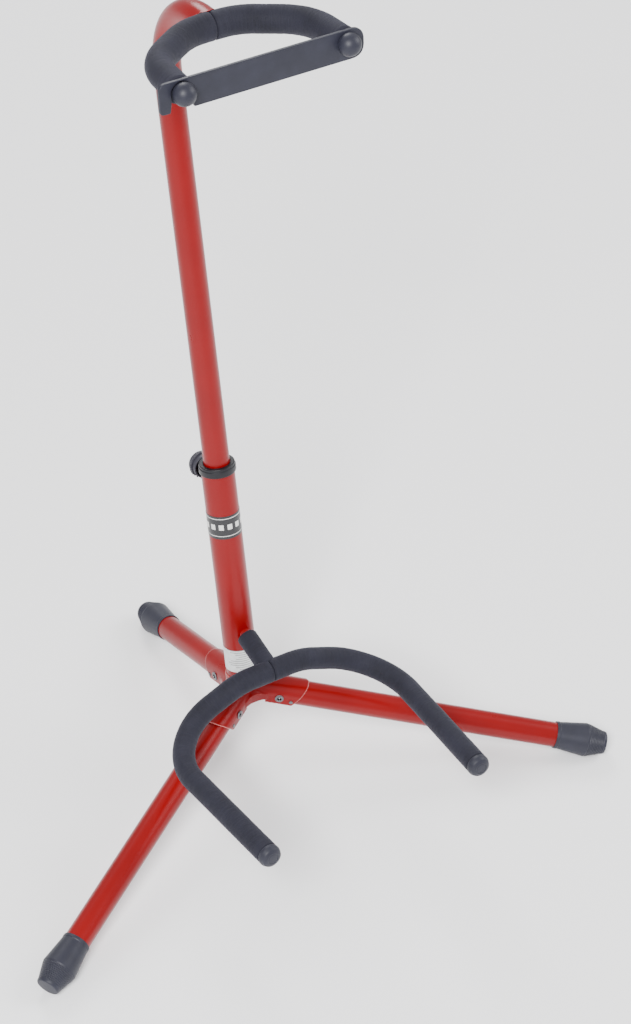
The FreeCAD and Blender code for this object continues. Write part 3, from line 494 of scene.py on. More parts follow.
def placed_copies(name):
    """A tree that sets a copy of an object on every point, turned to its facing."""
    tree = bpy.data.node_groups.new(name, "GeometryNodeTree")
    face = tree.interface
    face.new_socket("Geometry", in_out="INPUT", socket_type="NodeSocketGeometry")
    face.new_socket("Copied piece", in_out="INPUT", socket_type="NodeSocketObject")
    face.new_socket("Size", in_out="INPUT", socket_type="NodeSocketFloat")
    face.new_socket("Finish", in_out="INPUT", socket_type="NodeSocketMaterial")
    face.new_socket("Geometry", in_out="OUTPUT", socket_type="NodeSocketGeometry")
    t = Tree(tree)
    start = t.add("NodeGroupInput")
    piece = t.add("GeometryNodeObjectInfo", {"Object": start.outputs["Copied piece"]})
    facing = t.add("GeometryNodeInputNamedAttribute", {"Name": "facing"}, data_type="FLOAT_VECTOR")
    turn = t.add("FunctionNodeAlignRotationToVector", {"Vector": facing.outputs["Attribute"]}, axis="Z")
    copies = t.add("GeometryNodeInstanceOnPoints", {
        "Points": start.outputs["Geometry"],
        "Instance": piece.outputs["Geometry"],
        "Rotation": turn.outputs["Rotation"],
        "Scale": start.outputs["Size"],
    })
    real = t.add("GeometryNodeRealizeInstances", {"Geometry": copies.outputs["Instances"]})
    coated = t.add("GeometryNodeSetMaterial", {"Geometry": real.outputs["Geometry"],
                                               "Material": start.outputs["Finish"]})
    end = t.add("NodeGroupOutput")
    t.links.new(coated.outputs["Geometry"], end.inputs["Geometry"])
    return tree


def copies_on(name, spots, copied, material):
    """One mesh of a copied mesh set on (point, facing) spots by Geometry Nodes."""
    points = bpy.data.meshes.new(f"{name}_points")
    points.from_pydata([point for point, facing in spots], [], [])
    facings = points.attributes.new("facing", "FLOAT_VECTOR", "POINT")
    facings.data.foreach_set("vector", [v for point, facing in spots for v in facing])
    pattern = bpy.data.objects.new(f"{name}_pattern", copied)
    host = bpy.data.objects.new(f"{name}_host", points)
    for item in (pattern, host):
        bpy.context.scene.collection.objects.link(item)
    maker = host.modifiers.new("Copies", "NODES")
    maker.node_group = placed_copies(f"{name} copies")
    given = {"Copied piece": pattern, "Size": 1.0, "Finish": material}
    for item in maker.node_group.interface.items_tree:
        if item.in_out == "INPUT" and item.name in given:
            maker[item.identifier] = given[item.name]
    made = evaluated_mesh(host)
    made.name = name
    for item in (host, pattern):
        bpy.data.objects.remove(item)
    return made


# ---------------------------------------------------------------- materials

def new_material(name):
    material = bpy.data.materials.new(name)
    material.use_nodes = True
    t = Tree(material.node_tree)
    t.nodes.clear()
    shader = t.add("ShaderNodeBsdfPrincipled")
    t.add("ShaderNodeOutputMaterial", {"Surface": shader.outputs["BSDF"]})
    return material, t, shader


def shades(rgb, low, high):
    """A darker and a lighter version of a colour."""
    return tuple(min(1.0, c * low) for c in rgb) + (1,), tuple(min(1.0, c * high) for c in rgb) + (1,)


def object_spot(t, place=None):
    """Object coordinates, read inside a place when one is given."""
    spot = t.add("ShaderNodeTexCoord").outputs["Object"]
    if place is None:
        return spot
    mapping = t.add("ShaderNodeMapping", {"Vector": spot}, vector_type="TEXTURE")
    mapping.inputs["Location"].default_value = place.translation
    mapping.inputs["Rotation"].default_value = place.to_euler()
    return mapping.outputs["Vector"]


def ramp(t, value, low, high, start=0.3, end=0.7):
    """Colours blended over a span of a value."""
    node = t.add("ShaderNodeValToRGB", {"Fac": value})
    node.color_ramp.elements[0].position = start
    node.color_ramp.elements[0].color = low
    node.color_ramp.elements[1].position = end
    node.color_ramp.elements[1].color = high
    return node.outputs["Color"]


def math_node(t, operation, first, second=0.0):
    node = t.add("ShaderNodeMath", operation=operation)
    t.wire(first, node.inputs[0])
    t.wire(second, node.inputs[1])
    return node.outputs[0]


def noise_at(t, spot, scale, detail=2.0, roughness=0.5):
    node = t.add("ShaderNodeTexNoise", {"Vector": spot, "Scale": scale, "Detail": detail,
                                        "Roughness": roughness})
    return node.outputs["Fac"]


def bumped(t, shader, layers):
    """Stack bumps of (height, strength, distance) under a shader."""
    normal = None
    for height, strength, distance in layers:
        inputs = {"Height": height, "Strength": strength, "Distance": distance}
        if normal is not None:
            inputs["Normal"] = normal
        normal = t.add("ShaderNodeBump", inputs).outputs["Normal"]
    t.wire(normal, shader.inputs["Normal"])


def ranged(t, value, low, high):
    node = t.add("ShaderNodeMapRange", {"Value": value, "To Min": low, "To Max": high})
    return node.outputs["Result"]


def powder_coat(name="powder_coat", painted_edge_highlight=False):
    """Satin red coat with a fine orange peel; the edge-highlight version has a painted pale pink
    highlight along its sharp edges.
    """
    material, t, shader = new_material(name)
    spot = object_spot(t)
    low, high = shades(colours().coat, 0.90, 1.07)
    tone = ramp(t, noise_at(t, spot, 18.0, 3.0), low, high)
    if painted_edge_highlight:
        # painted highlight: sharp edges, found by pointiness, are blended towards a pale pink that stands
        # in for light catching the rims
        edge = t.add("ShaderNodeNewGeometry").outputs["Pointiness"]
        sharp = ramp(t, edge, (0, 0, 0, 1), (1, 1, 1, 1), 0.515, 0.56)
        pale = (0.86, 0.30, 0.28, 1)
        mix = t.add("ShaderNodeMix", data_type="RGBA")
        t.wire(math_node(t, "MULTIPLY", sharp, 0.75), mix.inputs["Factor"])
        t.wire(tone, mix.inputs["A"])
        t.wire(pale, mix.inputs["B"])
        tone = mix.outputs["Result"]
    t.wire(tone, shader.inputs["Base Color"])
    t.wire(ranged(t, noise_at(t, spot, 60.0, 4.0), 0.25, 0.34), shader.inputs["Roughness"])
    shader.inputs["Specular IOR Level"].default_value = 0.26
    shader.inputs["Coat Weight"].default_value = 0.05
    shader.inputs["Coat Roughness"].default_value = 0.2
    peel = noise_at(t, spot, 900.0, 2.0)
    dust = noise_at(t, spot, 3200.0, 1.0)
    bumped(t, shader, [(peel, 0.16, 0.0002), (dust, 0.08, 0.0001)])
    return material


def foam_skin(name="foam_skin"):
    """Closed-cell foam: pores, and fine wrinkles across the sleeve."""
    material, t, shader = new_material(name)
    uv = t.add("ShaderNodeTexCoord").outputs["UV"]
    stretched = t.add("ShaderNodeMapping", {"Vector": uv})
    stretched.inputs["Scale"].default_value = (70.0, 1250.0, 1.0)
    wrinkles = noise_at(t, stretched.outputs["Vector"], 1.0, 3.0, 0.62)
    spot = object_spot(t)
    pores = t.add("ShaderNodeTexVoronoi", {"Vector": spot, "Scale": 1900.0}).outputs["Distance"]
    cloud = noise_at(t, spot, 45.0, 4.0)
    low, high = shades(colours().foam, 0.70, 1.45)
    mottle = math_node(t, "MULTIPLY", math_node(t, "ADD", wrinkles, cloud), 0.5)
    tone = ramp(t, mottle, low, high, 0.36, 0.66)
    t.wire(tone, shader.inputs["Base Color"])
    t.wire(ranged(t, pores, 0.62, 0.9), shader.inputs["Roughness"])
    shader.inputs["Specular IOR Level"].default_value = 0.24
    shader.inputs["Sheen Weight"].default_value = 0.05
    shader.inputs["Sheen Roughness"].default_value = 0.5
    shader.inputs["Sheen Tint"].default_value = (0.62, 0.62, 0.85, 1)
    bumped(t, shader, [(wrinkles, 0.6, 0.0004), (pores, 0.35, 0.0002)])
    return material


def moulded(name, rgb, gloss, grain=1400.0, depth=0.25):
    """Rubber or plastic from a mould, with a fine grain and faint flow marks."""
    material, t, shader = new_material(name)
    spot = object_spot(t)
    low, high = shades(rgb, 0.82, 1.18)
    t.wire(ramp(t, noise_at(t, spot, 55.0, 5.0, 0.6), low, high), shader.inputs["Base Color"])
    speck = noise_at(t, spot, grain, 2.0)
    t.wire(ranged(t, speck, gloss - 0.06, gloss + 0.10), shader.inputs["Roughness"])
    shader.inputs["Specular IOR Level"].default_value = 0.32
    bumped(t, shader, [(speck, depth, 0.00015), (noise_at(t, spot, 220.0, 2.0), 0.10, 0.0002)])
    return material


def plated_steel(name="plated_steel"):
    """Zinc-plated steel with faint brush marks and dull patches."""
    material, t, shader = new_material(name)
    spot = object_spot(t)
    low, high = shades(colours().steel, 0.72, 1.12)
    t.wire(ramp(t, noise_at(t, spot, 400.0, 4.0), low, high), shader.inputs["Base Color"])
    shader.inputs["Metallic"].default_value = 1.0
    t.wire(ranged(t, noise_at(t, spot, 900.0, 3.0), 0.26, 0.46), shader.inputs["Roughness"])
    bumped(t, shader, [(noise_at(t, spot, 2400.0, 2.0), 0.15, 0.0001)])
    return material


def tube_spot(t):
    """Level up the tube and turn round it, for what is stuck on the tube."""
    parts = t.add("ShaderNodeSeparateXYZ", {"Vector": object_spot(t, mast_place())})
    turn = math_node(t, "ARCTAN2", parts.outputs["X"], parts.outputs["Y"])
    return parts.outputs["Z"], turn


def between(t, value, low, high):
    """1 where a value lies in a span."""
    above = math_node(t, "GREATER_THAN", value, low)
    return math_node(t, "MULTIPLY", above, math_node(t, "LESS_THAN", value, high))


def mixed(t, factor, first, second):
    mix = t.add("ShaderNodeMix", data_type="RGBA")
    t.wire(factor, mix.inputs["Factor"])
    t.wire(first, mix.inputs["A"])
    t.wire(second, mix.inputs["B"])
    return mix.outputs["Result"]


BAND_LINES = ((0.1560, 0.1566), (0.1724, 0.1730))
BAND_BLOCKS = (0.1622, 0.1672)
BLOCKS_ROUND = 12.0
STICKER_ROW = 0.0021
STICKER_BAR = 0.34


def band_film(name="band_film"):
    """A black band with two plain pale lines and a row of square blocks."""
    material, t, shader = new_material(name)
    level, turn = tube_spot(t)
    low_line, high_line = (between(t, level, *line) for line in BAND_LINES)
    lines = math_node(t, "ADD", low_line, high_line)
    wave = math_node(t, "SINE", math_node(t, "MULTIPLY", turn, BLOCKS_ROUND))
    blocks = math_node(t, "GREATER_THAN", wave, -0.2)
    blocks = math_node(t, "MULTIPLY", blocks, between(t, level, *BAND_BLOCKS))
    marks = math_node(t, "MAXIMUM", lines, blocks)
    t.wire(mixed(t, marks, (0.012, 0.012, 0.014, 1), (0.66, 0.66, 0.64, 1)), shader.inputs["Base Color"])
    t.wire(ranged(t, noise_at(t, object_spot(t), 700.0), 0.22, 0.34), shader.inputs["Roughness"])
    bumped(t, shader, [(noise_at(t, object_spot(t), 240.0), 0.08, 0.0002)])
    return material


def sticker_film(name="sticker_film"):
    """A silver sticker ruled with rows of plain dark bars."""
    material, t, shader = new_material(name)
    level, turn = tube_spot(t)
    row = math_node(t, "FRACT", math_node(t, "DIVIDE", level, STICKER_ROW))
    bar = math_node(t, "LESS_THAN", row, STICKER_BAR)
    number = math_node(t, "FLOOR", math_node(t, "DIVIDE", level, STICKER_ROW))
    sway = math_node(t, "SINE", math_node(t, "MULTIPLY", number, 7.3))
    spread = math_node(t, "ADD", 0.95, math_node(t, "MULTIPLY", sway, 0.35))
    one_way = math_node(t, "ABSOLUTE", math_node(t, "ADD", turn, math.pi))
    other_way = math_node(t, "ABSOLUTE", math_node(t, "SUBTRACT", turn, math.pi))
    aside = math_node(t, "MINIMUM", one_way, other_way)
    inside = math_node(t, "LESS_THAN", aside, spread)
    marks = math_node(t, "MULTIPLY", math_node(t, "MULTIPLY", bar, inside), 0.7)
    low, high = shades(colours().film, 0.9, 1.06)
    paper = ramp(t, noise_at(t, object_spot(t), 300.0, 3.0), low, high)
    t.wire(mixed(t, marks, paper, (0.09, 0.09, 0.10, 1)), shader.inputs["Base Color"])
    shader.inputs["Metallic"].default_value = 0.25
    t.wire(ranged(t, noise_at(t, object_spot(t), 800.0), 0.30, 0.42), shader.inputs["Roughness"])
    bumped(t, shader, [(noise_at(t, object_spot(t), 500.0), 0.06, 0.0001)])
    return material


MATERIALS = {}


def finish(name):
    """The finish of that name, made when it is first wanted."""
    tint = colours()
    makers = {
        "coat": powder_coat,
        # this coat has a painted pale pink highlight along its sharp edges
        "coat_with_painted_highlight": lambda: powder_coat("powder_coat_painted_highlight", True),
        "foam": foam_skin,
        "rubber": lambda: moulded("smooth_rubber", tint.rubber, 0.46, 1500.0, 0.22),
        "plastic": lambda: moulded("dark_plastic", tint.plastic, 0.38, 1100.0, 0.35),
        "rim": lambda: moulded("knob_rim_plastic", tint.rim, 0.40, 1100.0, 0.30),
        "nylon": lambda: moulded("pale_nylon", (0.62, 0.60, 0.55), 0.42, 900.0, 0.2),
        "steel": plated_steel,
        "band": band_film,
        "sticker": sticker_film,
    }
    if name not in MATERIALS:
        MATERIALS[name] = makers[name]()
    return MATERIALS[name]


# ---------------------------------------------------------------- the pieces

CAD_FINISHES = {
    "front_left_leg": "coat",
    "front_right_leg": "coat",
    "rear_leg": "coat",
    "cradle_stem": "coat",
    "neck_stub": "coat",
    "neck_rod": "steel",
    "cradle_rod": "steel",
    "clamp_boss": "steel",
    "clamp_screw": "steel",
    "hub_bolt": "steel",
    "hub_washer": "steel",
    "base_plug": "plastic",
    "mast_plug": "plastic",
    "guide_bush": "nylon",
    "glide_ring": "nylon",
    "clamp_pad": "nylon",
    "label_band": "band",
    "info_sticker": "sticker",
}


class STAND_OT_frame_finishes(bpy.types.Operator):
    """Give the frame's own pieces their finishes"""

    bl_idname = "guitar_stand.frame_finishes"
    bl_label = "Frame Finishes"

    def execute(self, context):
        for node, kind in CAD_FINISHES.items():
            mesh = frame["nodes"][node].data
            mesh.materials.clear()
            mesh.materials.append(finish(kind))
        return {"FINISHED"}


class STAND_OT_hub(bpy.types.Operator):
    """Make the pressed hub, with eased edges"""

    bl_idname = "guitar_stand.hub"
    bl_label = "Hub"

    def execute(self, context):
        mesh = soft_copy("pressed_hub", "hub", 0.0007, 5)
        # the hub's coat has a painted pale pink highlight along its sharp edges
        finished("pressed_hub", mesh, finish("coat_with_painted_highlight"), "base", "hub", slot="red_coat")
        return {"FINISHED"}


class STAND_OT_rivets(bpy.types.Operator):
    """Set the pivot rivets and the detent rivets of the three legs"""

    bl_idname = "guitar_stand.rivets"
    bl_label = "Rivets"

    def execute(self, context):
        size = hardware()
        pivots = []
        detents = []
        shanks = []
        for side in SIDES:
            place = leg_place(side)
            turn = place.to_3x3()
            for sense in (1, -1):
                out = turn @ Vector((0, sense, 0))
                pivots.append((place @ Vector((0, sense * size.channel_side, size.pivot_reach)), out))
                spot = Vector((-size.detent_drop, sense * size.channel_side, size.detent_reach))
                detents.append((place @ spot, out))
            shanks.append((place @ Vector((0, 0, size.pivot_reach)), turn @ Vector((0, 1, 0))))
        still = Matrix.Identity(4)
        bore = size.pivot_bore / 2
        wide = size.pivot_head_dia / 2
        head = lathe("pivot_head", [
            (bore, -0.0012, 0), (wide * 0.66, -0.0012, 0), (wide * 0.66, 0.0, 0), (wide, 0.0, 0.0002),
            (wide, size.pivot_head * 0.55, 0.0004), (wide * 0.62, size.pivot_head, 0.0006),
            (bore * 1.15, size.pivot_head * 0.8, 0.0005),
        ], still, 48)
        shank = lathe("pivot_shank", [
            (bore, -size.channel_side + 0.0012, 0), (0.00245, -size.channel_side + 0.0012, 0),
            (0.00245, size.channel_side - 0.0012, 0), (bore, size.channel_side - 0.0012, 0),
        ], still, 48)
        tip = size.detent_head_dia / 2
        dot = lathe("detent_head", [
            (0, -0.0012, 0), (tip * 0.62, -0.0012, 0), (tip * 0.62, 0.0, 0), (tip, 0.0, 0.0001),
            (tip * 0.86, size.detent_head * 0.7, 0.0003), (0, size.detent_head, 0),
        ], still, 32)
        steel = finish("steel")
        for name, spots, copied, replaced in (
            ("pivot_rivet_heads", pivots, head, ("leg_pivot_rivets",)),
            ("pivot_rivet_shanks", shanks, shank, ("leg_pivot_rivets",)),
            ("detent_rivet_heads", detents, dot, ("leg_detent_rivets",)),
        ):
            mesh = copies_on(name, spots, copied, steel)
            finished(name, mesh, steel, "base", *replaced, slot="bare_steel")
        return {"FINISHED"}


class STAND_OT_tubes(bpy.types.Operator):
    """Draw the lower tube, the bent upper tube and the collar"""

    bl_idname = "guitar_stand.tubes"
    bl_label = "Tubes"

    def execute(self, context):
        size = tubes()
        place = mast_place()
        top = size.collar_top - 0.002
        outer = size.lower_dia / 2
        lower = lathe("lower_tube_skin", [
            (outer - size.lower_wall, size.lower_start), (outer, size.lower_start),
            (outer, top), (outer - size.lower_wall, top),
        ], place, 128, 0.0002)
        finished("lower_tube_skin", lower, finish("coat"), "base", "lower_tube", slot="red_coat")

        bend = size.bend_turn
        rise = size.bend_level + size.bend_radius * math.sin(bend)
        arm = Vector((0, -size.bend_radius * (1 - math.cos(bend)), rise))
        ahead = Vector((0, -math.sin(bend), math.cos(bend)))
        corner_rise = size.bend_radius * math.tan(bend / 2)
        corners = [
            place @ Vector((0, 0, size.upper_start)),
            place @ Vector((0, 0, size.bend_level + corner_rise)),
            place @ (arm + ahead * pads().yoke_offset),
        ]
        line = rounded_line(corners, [size.bend_radius], 0.004)
        reach = pads().neck_foam_dia / 2 + 0.0003
        radius = size.upper_dia / 2
        yoke = yoke_place().inverted()
        upper = ruled_tube("upper_tube_skin", line, lambda along, total, a: radius, 96,
                           radius - size.upper_wall)
        # the end is coped to the foam it meets
        for vertex in upper.vertices:
            local = yoke @ vertex.co
            if local.z > -0.03 and abs(local.y) < 0.013:
                limit = -math.sqrt(max(0.0, reach ** 2 - local.y ** 2))
                if local.z > limit:
                    local.z = limit
                    vertex.co = yoke.inverted() @ local
        finished("upper_tube_skin", upper, finish("coat"), "mast", "upper_tube", slot="red_coat")

        low = size.collar_top - size.collar_height
        wide = size.collar_dia / 2
        bore = size.upper_dia / 2 + 0.0003
        collar = lathe("collar_ring", [
            (outer, low), (wide, low, 0.0008), (wide, size.collar_top - 0.0028, 0.0004),
            (wide - 0.0006, size.collar_top - 0.0024, 0.0002), (wide - 0.0006, size.collar_top, 0.0012),
            (bore, size.collar_top, 0.0005), (bore, top, 0.0001), (outer, top, 0.0001),
        ], place, 128)
        finished("collar_ring", collar, finish("plastic"), "base", "collar", slot="dark_plastic")
        return {"FINISHED"}


class STAND_OT_feet(bpy.types.Operator):
    """Turn the three rubber feet, with fine rings on their noses"""

    bl_idname = "guitar_stand.feet"
    bl_label = "Feet"

    def execute(self, context):
        size = tubes()
        skirt = size.foot_skirt
        nose = size.foot_nose
        rim = size.foot_rim_dia / 2
        wide = size.foot_wide_dia / 2
        end = size.foot_end_dia / 2
        bore = size.leg_dia / 2
        profile = [
            (bore, 0.0, 0.0003), (rim, 0.0, 0.0008), (rim + 0.0002, 0.0026, 0.0005),
            (rim - 0.0001, 0.0032, 0.0004), (wide, skirt, 0.0030),
        ]
        rings = 11
        for k in range(1, rings):
            t = k / rings
            radius = wide + (end - wide) * t
            level = skirt + (nose - 0.0018) * t
            profile += [
                (radius - 0.00028, level - 0.00035, 0.0002),
                (radius + 0.00005, level + 0.00035, 0.0002),
            ]
        profile += [(end, skirt + nose, 0.0022), (0, skirt + nose, 0), (0, 0.024, 0), (bore, 0.024, 0)]
        for side in SIDES:
            place = leg_place(side) @ Matrix.Translation((0, 0, foot_start(side)))
            mesh = lathe(f"{side}_rubber_foot", profile, place, 128, 0.0004)
            for vertex in mesh.vertices:
                vertex.co.z = max(vertex.co.z, 0.0)
            finished(f"{side}_rubber_foot", mesh, finish("rubber"), f"{side}_leg_body", f"{side}_foot",
                     slot="soft_rubber")
        return {"FINISHED"}


def foam_sleeve(name, line, diameter, body, replaced, seed, rounding=0.0016):
    """A foam sleeve along a line, wrinkled across, its ends rounded."""
    size = pads()
    radius = diameter / 2
    wrinkle = size.wrinkle

    def skin(along, total, a):
        nearest = min(along, total - along)
        shrink = 0.0
        if nearest < rounding:
            shrink = rounding - math.sqrt(max(0.0, rounding ** 2 - (rounding - nearest) ** 2))
        around = Vector((math.cos(a), math.sin(a), 0))
        fine = noise.noise(around * 1.6 + Vector((seed, 0, along / 0.0019)))
        broad = noise.noise(around * 0.8 + Vector((seed + 9, 0, along / 0.016)))
        return radius - shrink + wrinkle * fine + 0.9 * wrinkle * broad - wrinkle

    mesh = ruled_tube(name, line, skin, 72)
    sleeve = finished(name, mesh, finish("foam"), body, replaced, slot="foam")
    return sleeve


def yoke_line(sense, reach):
    """One arm of the yoke, from its centre to a reach ahead."""
    size = pads()
    place = yoke_place()
    corners = [place @ Vector(spot) for spot in (
        (0, 0, 0),
        (sense * size.yoke_flat, 0, 0),
        (sense * size.yoke_corner, 0, size.yoke_corner_ahead),
        (sense * size.yoke_half, 0, reach),
    )]
    return rounded_line(corners, [size.yoke_radius] * 2, size.ring_step)


def cradle_line(sense):
    """One arm of the cradle, from its centre to its end."""
    size = pads()
    middle = cradle_middle()
    corners = [middle + Vector(spot) for spot in (
        (0, 0, 0),
        (sense * size.cradle_flat, 0, 0),
        (sense * size.cradle_half, -size.cradle_ahead, -size.cradle_drop),
        (sense * size.cradle_end_half, -size.cradle_reach, -size.cradle_end_drop),
    )]
    return rounded_line(corners, [size.shoulder_radius, size.corner_radius], size.ring_step)


def latch_back():
    size = pads()
    return size.yoke_reach - size.latch_set - size.latch_thick


class STAND_OT_neck_foams(bpy.types.Operator):
    """Sleeve the two arms of the neck yoke in foam"""

    bl_idname = "guitar_stand.neck_foams"
    bl_label = "Neck Foams"

    def execute(self, context):
        size = pads()
        reach = latch_back() - size.latch_gap
        for label, sense, seed in (("left", -1, 3.0), ("right", 1, 17.0)):
            foam_sleeve(f"{label}_neck_sleeve", yoke_line(sense, reach), size.neck_foam_dia, "mast",
                        f"{label}_neck_foam", seed)
        return {"FINISHED"}


class STAND_OT_cradle_foams(bpy.types.Operator):
    """Sleeve the cradle's stem and its two arms in foam"""

    bl_idname = "guitar_stand.cradle_foams"
    bl_label = "Cradle Foams"

    def execute(self, context):
        size = pads()
        for label, sense, seed in (("left", -1, 31.0), ("right", 1, 47.0)):
            foam_sleeve(f"{label}_cradle_sleeve", cradle_line(sense), size.cradle_foam_dia, "base",
                        f"{label}_cradle_foam", seed)
        ahead = stem_ahead()
        root = HUB_POINT + TUBE_UP * size.stem_level
        start = root + ahead * size.stem_foam_start
        end = root + ahead * (size.stem_length - 0.004)
        line = rounded_line([start, end], [], size.ring_step)
        foam_sleeve("stem_sleeve", line, size.stem_foam_dia, "base", "stem_foam", 61.0)
        return {"FINISHED"}


class STAND_OT_cradle_caps(bpy.types.Operator):
    """Close the cradle's arms with domed rubber caps"""

    bl_idname = "guitar_stand.cradle_caps"
    bl_label = "Cradle Caps"

    def execute(self, context):
        size = pads()
        radius = size.cradle_foam_dia / 2
        dome = size.cap_length
        for label, sense in (("left", -1), ("right", 1)):
            line = cradle_line(sense)
            place = frame_at(line[-1], line[-1] - line[-2])
            mesh = lathe(f"{label}_cradle_end", [
                (0, 0, 0), (radius * 0.9, 0, 0.0002), (radius * 0.955, 0.0004, 0.0002),
                (radius, 0.0010, 0.0004), (radius, dome * 0.42, 0.0020),
                (radius * 0.86, dome * 0.82, 0.0018),
                (radius * 0.52, dome * 0.985, 0.0010), (radius * 0.47, dome * 0.93, 0.0003),
                (radius * 0.40, dome * 0.97, 0.0004), (0, dome, 0),
            ], place, 72)
            finished(f"{label}_cradle_end", mesh, finish("rubber"), "base", f"{label}_cradle_cap",
                     slot="soft_rubber")
        return {"FINISHED"}


class STAND_OT_neck_knobs(bpy.types.Operator):
    """Mould the two ball knobs on the ends of the yoke"""

    bl_idname = "guitar_stand.neck_knobs"
    bl_label = "Neck Knobs"

    def execute(self, context):
        size = pads()
        radius = size.ball_dia / 2
        neck = size.ball_neck_dia / 2
        front = -size.latch_set + size.latch_gap
        back = latch_back() - size.latch_gap - size.yoke_reach
        ball = []
        start = math.asin(front / radius)
        for k in range(19):
            a = start + (math.pi / 2 - start) * k / 18
            ball.append((radius * math.cos(a), radius * math.sin(a) * 0.96, 0))
        ball[-1] = (0, radius * 0.96, 0)
        profile = [
            (0, back, 0), (neck, back, 0.0002), (neck, front - 0.0002, 0), (neck - 0.0004, front, 0),
            (ball[0][0] - 0.0008, front, 0.0002), (ball[0][0], front + 0.0006, 0.0003),
        ] + ball[2:]
        for label, sense in (("left", -1), ("right", 1)):
            place = yoke_place() @ Matrix.Translation((sense * size.yoke_half, 0, size.yoke_reach))
            mesh = lathe(f"{label}_ball_knob", profile, place, 72)
            finished(f"{label}_ball_knob", mesh, finish("rubber"), "mast", f"{label}_knob",
                     slot="soft_rubber")
        return {"FINISHED"}


class STAND_OT_latch(bpy.types.Operator):
    """Cut the latch bar, with its hook slot and its rounded pivot end"""

    bl_idname = "guitar_stand.latch"
    bl_label = "Latch Bar"

    def execute(self, context):
        size = pads()
        left = -size.yoke_half - size.latch_hook
        right = size.yoke_half + size.latch_end
        top = size.latch_above
        low = -size.latch_below
        catch = -size.yoke_half
        slot = size.hook_slot / 2
        mouth = slot + 0.0012
        corners = [
            (left, top, size.hook_round), (left, low, size.hook_round),
            (catch - mouth, low, 0.0012), (catch - slot, low + 0.007, 0.0030),
        ]
        arch = [(catch - slot * math.cos(a), slot * math.sin(a), 0)
                for a in (math.pi * k / 16 for k in range(17))]
        corners += arch + [
            (catch + slot, low + 0.007, 0.0030), (catch + mouth, low, 0.0012),
            (right, low, size.latch_round), (right, top, size.latch_round),
        ]
        outline = softened(corners, 0.001, 8)
        back = latch_back()
        mesh = slab("latch_strap", outline, back, back + size.latch_thick, yoke_place(), 0.0006)
        finished("latch_strap", mesh, finish("rubber"), "latch", "latch_bar", slot="soft_rubber")
        return {"FINISHED"}


class STAND_OT_clamp_knob(bpy.types.Operator):
    """Mould the clamp knob, a dark cup with a pale ribbed rim"""

    bl_idname = "guitar_stand.clamp_knob"
    bl_label = "Clamp Knob"

    def execute(self, context):
        size = hardware()
        centre = HUB_POINT + TUBE_UP * size.clamp_level + CLAMP_OUT * size.knob_start
        place = frame_at(centre, CLAMP_OUT)
        wide = size.knob_dia / 2
        rib = 0.0007
        inner = wide - size.knob_wall
        core = size.knob_core_dia / 2
        floor = size.knob_height - size.knob_face
        cup = lathe("knob_cup", [
            (0.003, 0.0), (core, 0.0, 0.0006), (core, floor, 0.0008),
            (inner, floor, 0.0010), (inner, 0.0008, 0.0002),
            (inner + 0.0005, 0.0006, 0.0002), (wide - rib - 0.0004, 0.0008, 0.0003),
            (wide - rib - 0.0004, size.knob_height - 0.0006, 0.0008), (0.003, size.knob_height, 0),
        ], place, 96)
        finished("knob_cup", cup, finish("plastic"), "clamp_wheel", "clamp_knob", slot="dark_plastic")
        rim = lathe("knob_rim", [
            (inner + 0.0002, 0.0, 0.0004), (wide - rib, 0.0, 0.0007),
            (wide - rib, size.knob_height, 0.0009), (inner - 0.0012, size.knob_height, 0.0004),
            (inner - 0.0012, size.knob_height - 0.0008, 0.0002),
            (inner + 0.0002, size.knob_height - 0.0010, 0.0002),
        ], place, 96)
        finished("knob_rim", rim, finish("rim"), "clamp_wheel", "clamp_knob", slot="dark_plastic")

        half = size.knob_height / 2 - 0.0007
        bar = bmesh.new()
        bmesh.ops.create_cube(bar, size=1.0)
        bmesh.ops.scale(bar, vec=(2 * half, 0.0011, 0.0014), verts=bar.verts)
        bmesh.ops.bevel(bar, geom=bar.edges[:], offset=0.0003, segments=2, profile=0.5, affect="EDGES")
        strip = mesh_of("knob_rib", bar)
        turn = place.to_3x3()
        spots = []
        for k in range(size.knob_ribs):
            a = 2 * math.pi * k / size.knob_ribs
            out = Vector((math.cos(a), math.sin(a), 0)) * (wide - rib)
            spots.append((place @ (out + Vector((0, 0, size.knob_height / 2))), turn @ out.normalized()))
        ribs = copies_on("knob_ribs", spots, strip, finish("rim"))
        finished("knob_ribs", ribs, finish("rim"), "clamp_wheel", "clamp_knob", slot="dark_plastic")
        return {"FINISHED"}


# ---------------------------------------------------------------- the stage

CAMERA_AZIMUTH = math.radians(-32.55)
CAMERA_HEIGHT = math.radians(42.416)
CAMERA_ROLL = math.radians(2.563)
CAMERA_DISTANCE = 2.3572
CAMERA_LENS = 96.216
CAMERA_AIM = Vector((0.0, 0.0, 0.0747))
CAMERA_ASIDE = (-0.06133, -0.14819)


def camera_place():
    """The camera stands up and to the left of the front, and looks past the hub."""
    back = Vector((
        math.sin(CAMERA_AZIMUTH) * math.cos(CAMERA_HEIGHT),
        -math.cos(CAMERA_AZIMUTH) * math.cos(CAMERA_HEIGHT),
        math.sin(CAMERA_HEIGHT),
    ))
    right = Vector((math.cos(CAMERA_AZIMUTH), math.sin(CAMERA_AZIMUTH), 0))
    up = back.cross(right)
    across = right * math.cos(CAMERA_ROLL) + up * math.sin(CAMERA_ROLL)
    upright = up * math.cos(CAMERA_ROLL) - right * math.sin(CAMERA_ROLL)
    aside, above = CAMERA_ASIDE
    aim = CAMERA_AIM + Vector((0, HUB_POINT.y, 0))
    spot = aim + back * CAMERA_DISTANCE - across * aside - upright * above
    place = Matrix((across, upright, back)).transposed().to_4x4()
    place.translation = spot
    return place


